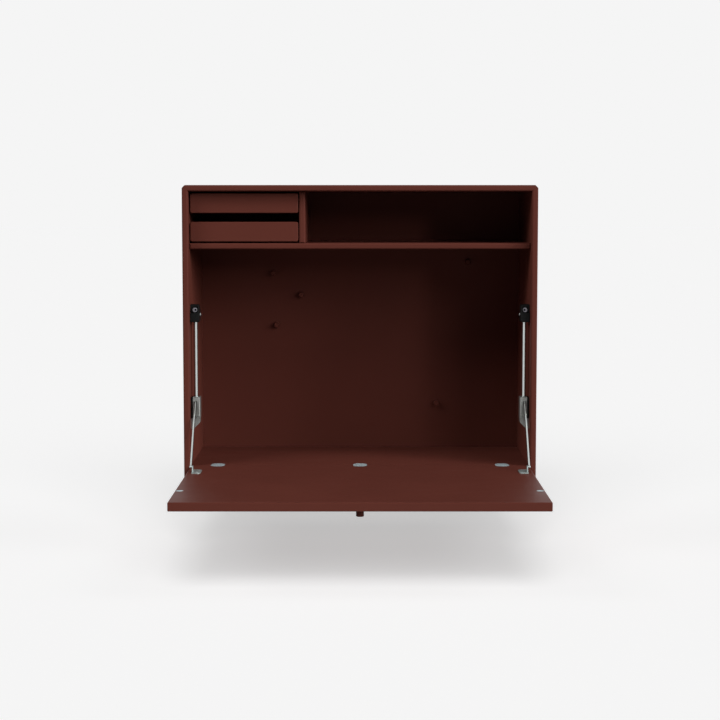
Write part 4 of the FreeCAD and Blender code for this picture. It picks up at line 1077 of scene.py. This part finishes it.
    def rivets(self) -> None:
        """Build the arm's two pins with their domed heads."""
        for part, body in (("slider_rivet", self.node("arm")), ("arm_pin", "flap")):
            span = self.span(part)
            radius, length, thin, cap = span.size.y / 2, span.size.x, self.pivot_radius, self.rivet_cap
            head = [(0.0, 0.0), (radius * 0.5, 0.03), (radius * 0.85, 0.12), (radius, cap), (thin, cap)]
            place = (span.low.x, span.middle.y, span.middle.z)
            made = Shape().turned(Axis.X, place, there_and_back(head, length), 40)
            self.piece(part, "domed", made, "steel", body)

    def bracket(self) -> None:
        """Build the pressed angle on the flap: a round ended foot and an ear for the arm's pin."""
        span, pin = self.span("flap_bracket"), self.span("arm_pin").middle
        low, high, sheet, y = span.low, span.high, self.bracket_sheet, pin.y
        face, top = high.x - sheet, low.z + sheet
        made = Shape().plate(Axis.Z, oblong(low.x, low.y, high.x, high.y, 8.0, 2.5), low.z, top)
        made.soften(lies_at(Axis.Z, top), 0.35, 2)
        ear = Shape().plate(Axis.X, [
            (y - 10.0, low.z, 0.0), (y + 10.0, low.z, 0.0), (y + 9.2, low.z + 2.2, 1.5),
            (y + 3.0, high.z, 2.9), (y - 3.0, high.z, 2.9), (y - 9.2, low.z + 2.2, 1.5),
        ], face, high.x).soften(lies_at(Axis.X, face), 0.25, 2)
        start, end = Vector((face - 0.8, y - 8.6, top + 0.8)), Vector((face - 0.8, y + 8.6, top + 0.8))
        fillet = Shape().block((start.x, start.y, top - 0.1), (face + 0.1, end.y, end.z))
        fillet.soften(lambda edge: spans(edge, start, end), 0.7, 4)
        made.joined(ear, fillet).carved(Shape().bar(high.x - 3.0, pin, self.pivot_radius + 0.05, 6.0))
        self.piece("flap_bracket", "pressed", made, "nickel_plate", "flap")


@dataclass(frozen=True)
class TrayPan(Fitting):
    """A folded sheet steel pan that hangs by its rims on two runners."""

    name: str
    sheet: float = 1.5
    rim: float = 5.3
    corner: float = 3.0
    rim_corner: float = 2.0
    lap: float = 1.0
    outer_fold: float = 1.6
    inner_fold: float = 0.8
    burr: float = 0.18
    sharp: float = math.radians(60.0)

    def build(self) -> None:
        """Build the pan with its rounded folds and turned out rims."""
        node = f"{self.name}_tray_pan"
        span = Span.of(node)
        low, high, sheet = span.low, span.high, self.sheet
        left, right = low.x + self.rim, high.x - self.rim
        outline = oblong(left, low.y, right, high.y, self.corner, self.corner)
        made = Shape().plate(Axis.Z, outline, low.z, high.z).soften(lies_at(Axis.Z, low.z), self.outer_fold)
        hollow = oblong(left + sheet, low.y + sheet, right - sheet, high.y - sheet, 1.6, 1.6)
        inner = Shape().plate(Axis.Z, hollow, low.z + sheet, high.z + 5.0)
        inner.soften(lies_at(Axis.Z, low.z + sheet), self.inner_fold)
        wings = (
            oblong(low.x, low.y, left + self.lap, high.y, self.rim_corner),
            oblong(right - self.lap, low.y, high.x, high.y, 0.0, self.rim_corner),
        )
        made.joined(*(Shape().plate(Axis.Z, wing, high.z - sheet, high.z) for wing in wings)).carved(inner)
        made.mesh.normal_update()
        made.soften(lambda edge: edge.is_manifold and edge.calc_face_angle(0.0) > self.sharp, self.burr, 1)
        self.workshop.piece(node, "folded", made, "pan_paint", f"{self.name}_tray")


@dataclass(frozen=True)
class Screws(Fitting):
    """Every visible screw of the desk: low round heads with a hexagon socket."""

    head_radius: float = 3.2
    head_height: float = 1.6
    flush_height: float = 0.5
    socket_radius: float = 1.45
    socket_depth: float = 1.0
    shank_radius: float = 1.7
    bracket_length: float = 12.6
    tray_length: float = 9.5
    hanger_length: float = 8.0
    hanger_pitch: float = 36.0
    stay_reach: float = 9.0
    stay_drop: float = 20.0

    def screw(self, length: float, height: float) -> Shape:
        """Build one upright screw with its seat at the origin.

        Args:
            length: The shank's length below the head.
            height: The head's height.

        Returns:
            The screw's shape.
        """
        radius, shank, socket = self.head_radius, self.shank_radius, self.socket_radius
        made = Shape().turned(Axis.Z, (0.0, 0.0, 0.0), [
            (shank * 0.5, -length), (shank, 1.2 - length), (shank, 0.0), (radius - 0.15, 0.0),
            (radius, 0.15), (radius, height * 0.45), (radius * 0.93, height * 0.78),
            (radius * 0.78, height * 0.94), (socket * 1.3, height), (socket * 1.16, height),
            (socket * 1.02, height - 0.12),
        ])
        return made.carved(Shape().hexagon((0.0, 0.0, height), socket, 2 * self.socket_depth))

    def fit(
        self, node: str, body: str, places: list[tuple[Corner, Vector, float]], height: float = 0.0
    ) -> None:
        """Build all the screws of a node as one piece.

        Args:
            node: The node that they stand for.
            body: The body that they ride on.
            places: Each screw's seat, the direction that its head faces, and its shank's length.
            height: The height of the heads, or 0 for the usual one.
        """
        made = Shape()
        for seat, facing, length in places:
            made.absorb(self.screw(length, height or self.head_height).aimed(facing, Vector(seat)))
        self.workshop.piece(node, "cut", made, "steel", body)

    def build(self) -> None:
        """Build the screws of the brackets, the stays and the trays."""
        radius, up, back = self.head_radius, Axis.Z.unit(), Axis.Y.unit()
        node = "flap_bracket_screws"
        span, level = Span.of(node), Span.of("right_flap_bracket").low.z + Stay.bracket_sheet
        self.fit(node, "flap", [
            ((side * (span.high.x - radius), row, level), up, self.bracket_length)
            for side in (-1, 1) for row in (span.low.y + radius, span.high.y - radius)
        ], self.flush_height)

        for name in ("upper", "lower"):
            node = f"{name}_tray_screws"
            span = Span.of(node)
            self.fit(node, f"{name}_tray", [
                ((x, span.high.y - self.head_height, span.middle.z), back, self.tray_length)
                for x in (span.low.x + radius, span.high.x - radius)
            ])

        node = "hanging_bracket_screws"
        span = Span.of(node)
        outer = span.high.x - radius
        self.fit(node, "case", [
            ((side * x, span.high.y - self.head_height, span.middle.z), back, self.hanger_length)
            for side in (-1, 1) for x in (outer - self.hanger_pitch, outer)
        ])

        head, rod = Span.of("right_stay_head"), Span.of("right_guide_rod")
        seats = (Vector((head.low.x, rod.middle.y, head.high.z - self.stay_drop)), foot_seat())
        end = head.high.x + self.stay_reach
        self.fit("stay_screws", "case", [
            ((side * seat.x, seat.y, seat.z), Axis.X.unit() * -side, end - seat.x)
            for side in (-1, 1) for seat in seats
        ])


# ---- studio


class Target(Enum):
    """What a lamp lights: the desk, or the floor under it."""

    DESK = "EXCLUDE"
    FLOOR = "INCLUDE"


@dataclass(frozen=True)
class Lamp:
    """A distant soft lamp, by the direction that it shines from and its spread, in degrees."""

    name: str
    azimuth: float
    elevation: float
    spread: float
    strength: float
    target: Target = Target.DESK

    def build(self, floor: bpy.types.Object) -> None:
        """Build the lamp.

        Args:
            floor: The floor, which the lamp lights alone or leaves out.
        """
        turn, rise = math.radians(self.azimuth), math.radians(self.elevation)
        source = Vector((math.sin(turn) * math.cos(rise), -math.cos(turn) * math.cos(rise), math.sin(rise)))
        data = bpy.data.lights.new(self.name, "SUN")
        data.energy = self.strength
        data.angle = math.radians(self.spread)
        lamp = placed(self.name, data)
        lamp.location = source
        lamp.rotation_euler = source.to_track_quat("Z", "Y").to_euler()
        lit = bpy.data.collections.new(f"{self.name}_lights")
        lit.objects.link(floor)
        lit.collection_objects[0].light_linking.link_state = self.target.value
        lamp.light_linking.receiver_collection = lit


@dataclass(frozen=True)
class Studio:
    """The pale floor, the white surround, the lamps and the camera."""

    white: float = 0.913
    floor_level: float = -0.68
    floor_colour: float = 0.8
    floor_glow: float = 0.503
    floor_bounce: float = 0.25
    floor_reach: float = 60.0
    camera_place: Corner = (0.0, -3.6359, -0.0003)
    camera_pitch: float = 5.054
    camera_far: float = 200.0
    lens: float = 85.16
    sensor: float = 36.0
    lamps: tuple[Lamp, ...] = (
        Lamp("side_right", 65.0, 15.0, 24.0, 1.6),
        Lamp("front_crisp", 35.0, 9.0, 6.0, 0.22),
        Lamp("front_broad", 31.0, 22.5, 22.0, 0.58),
        Lamp("top_right", 56.0, 38.0, 22.0, 1.2),
        Lamp("top_left", -54.0, 38.0, 26.0, 1.2),
        Lamp("side_left", -75.0, 15.0, 20.0, 0.4),
        Lamp("floor_front", 0.0, 45.0, 25.0, 1.0, Target.FLOOR),
        Lamp("floor_low", 0.0, 30.0, 25.0, 0.32, Target.FLOOR),
        Lamp("floor_left", -20.0, 30.0, 25.0, 0.56, Target.FLOOR),
        Lamp("floor_right", 20.0, 30.0, 25.0, 0.56, Target.FLOOR),
        Lamp("floor_side_left", -80.0, 45.0, 25.0, 0.13, Target.FLOOR),
        Lamp("floor_side_right", 80.0, 45.0, 25.0, 0.13, Target.FLOOR),
    )

    def build(self) -> None:
        """Build the whole studio."""
        self.surround()
        floor = self.floor()
        for lamp in self.lamps:
            lamp.build(floor)
        self.camera()

    def surround(self) -> None:
        """Build the world: white where it is seen, and without light of its own."""
        world = bpy.data.worlds.new("white_surround")
        bpy.context.scene.world = world
        bench = Bench(world)
        seen = bench.node("ShaderNodeBackground", {"Color": (self.white, self.white, self.white)})
        dark = bench.node("ShaderNodeBackground", {"Strength": 0.0})
        bench.end_in("ShaderNodeOutputWorld", dark, seen)

    def floor(self) -> bpy.types.Object:
        """Build the pale floor, which keeps the desk's shadow.

        Returns:
            The floor.
        """
        made, level = Shape(), Matrix.Translation((0.0, 0.0, self.floor_level))
        bmesh.ops.create_grid(made.mesh, x_segments=1, y_segments=1, size=self.floor_reach, matrix=level)
        thing = placed("studio_floor", made.data("studio_floor"))
        material = bpy.data.materials.new("floor_white")
        bench = Bench(material)
        pale = bench.node("ShaderNodeBsdfDiffuse", {"Color": (self.floor_colour,) * 3})
        glow = bench.node("ShaderNodeEmission", {"Strength": self.floor_glow})
        bounce = bench.node("ShaderNodeEmission", {"Strength": self.floor_bounce})
        lit = bench.node("ShaderNodeAddShader", {0: pale.outputs["BSDF"], 1: glow.outputs["Emission"]})
        bench.end_in("ShaderNodeOutputMaterial", bounce, lit)
        thing.data.materials.append(material)
        return thing

    def camera(self) -> None:
        """Build the camera and make it the scene's."""
        data = bpy.data.cameras.new("camera")
        data.lens = self.lens
        data.sensor_width = self.sensor
        data.clip_end = self.camera_far
        camera = placed("camera", data)
        camera.location = self.camera_place
        camera.rotation_euler = (math.radians(90.0 - self.camera_pitch), 0.0, 0.0)
        bpy.context.scene.camera = camera


def main() -> None:
    """Build the desk's finishes, fittings and studio."""
    logging.basicConfig(level=logging.INFO, format="%(name)s: %(message)s")
    slots = {part["node"]: part["material_slot"] for part in frame["record"]["subparts"]}
    workshop = Workshop(finishes())
    workshop.dress(frame["nodes"], slots)
    fittings = [
        *(Hinge(workshop, name) for name in ("left", "centre", "right")),
        *(kind(workshop, side) for side in Side for kind in (StrikeDisc, Stay)),
        Knob(workshop),
        Pegs(workshop),
        *(TrayPan(workshop, name) for name in ("upper", "lower")),
        Screws(workshop),
    ]
    for fitting in fittings:
        fitting.build()
    Studio().build()
    bpy.context.scene.view_settings.view_transform = "Standard"


if __name__ == "__main__":
    main()
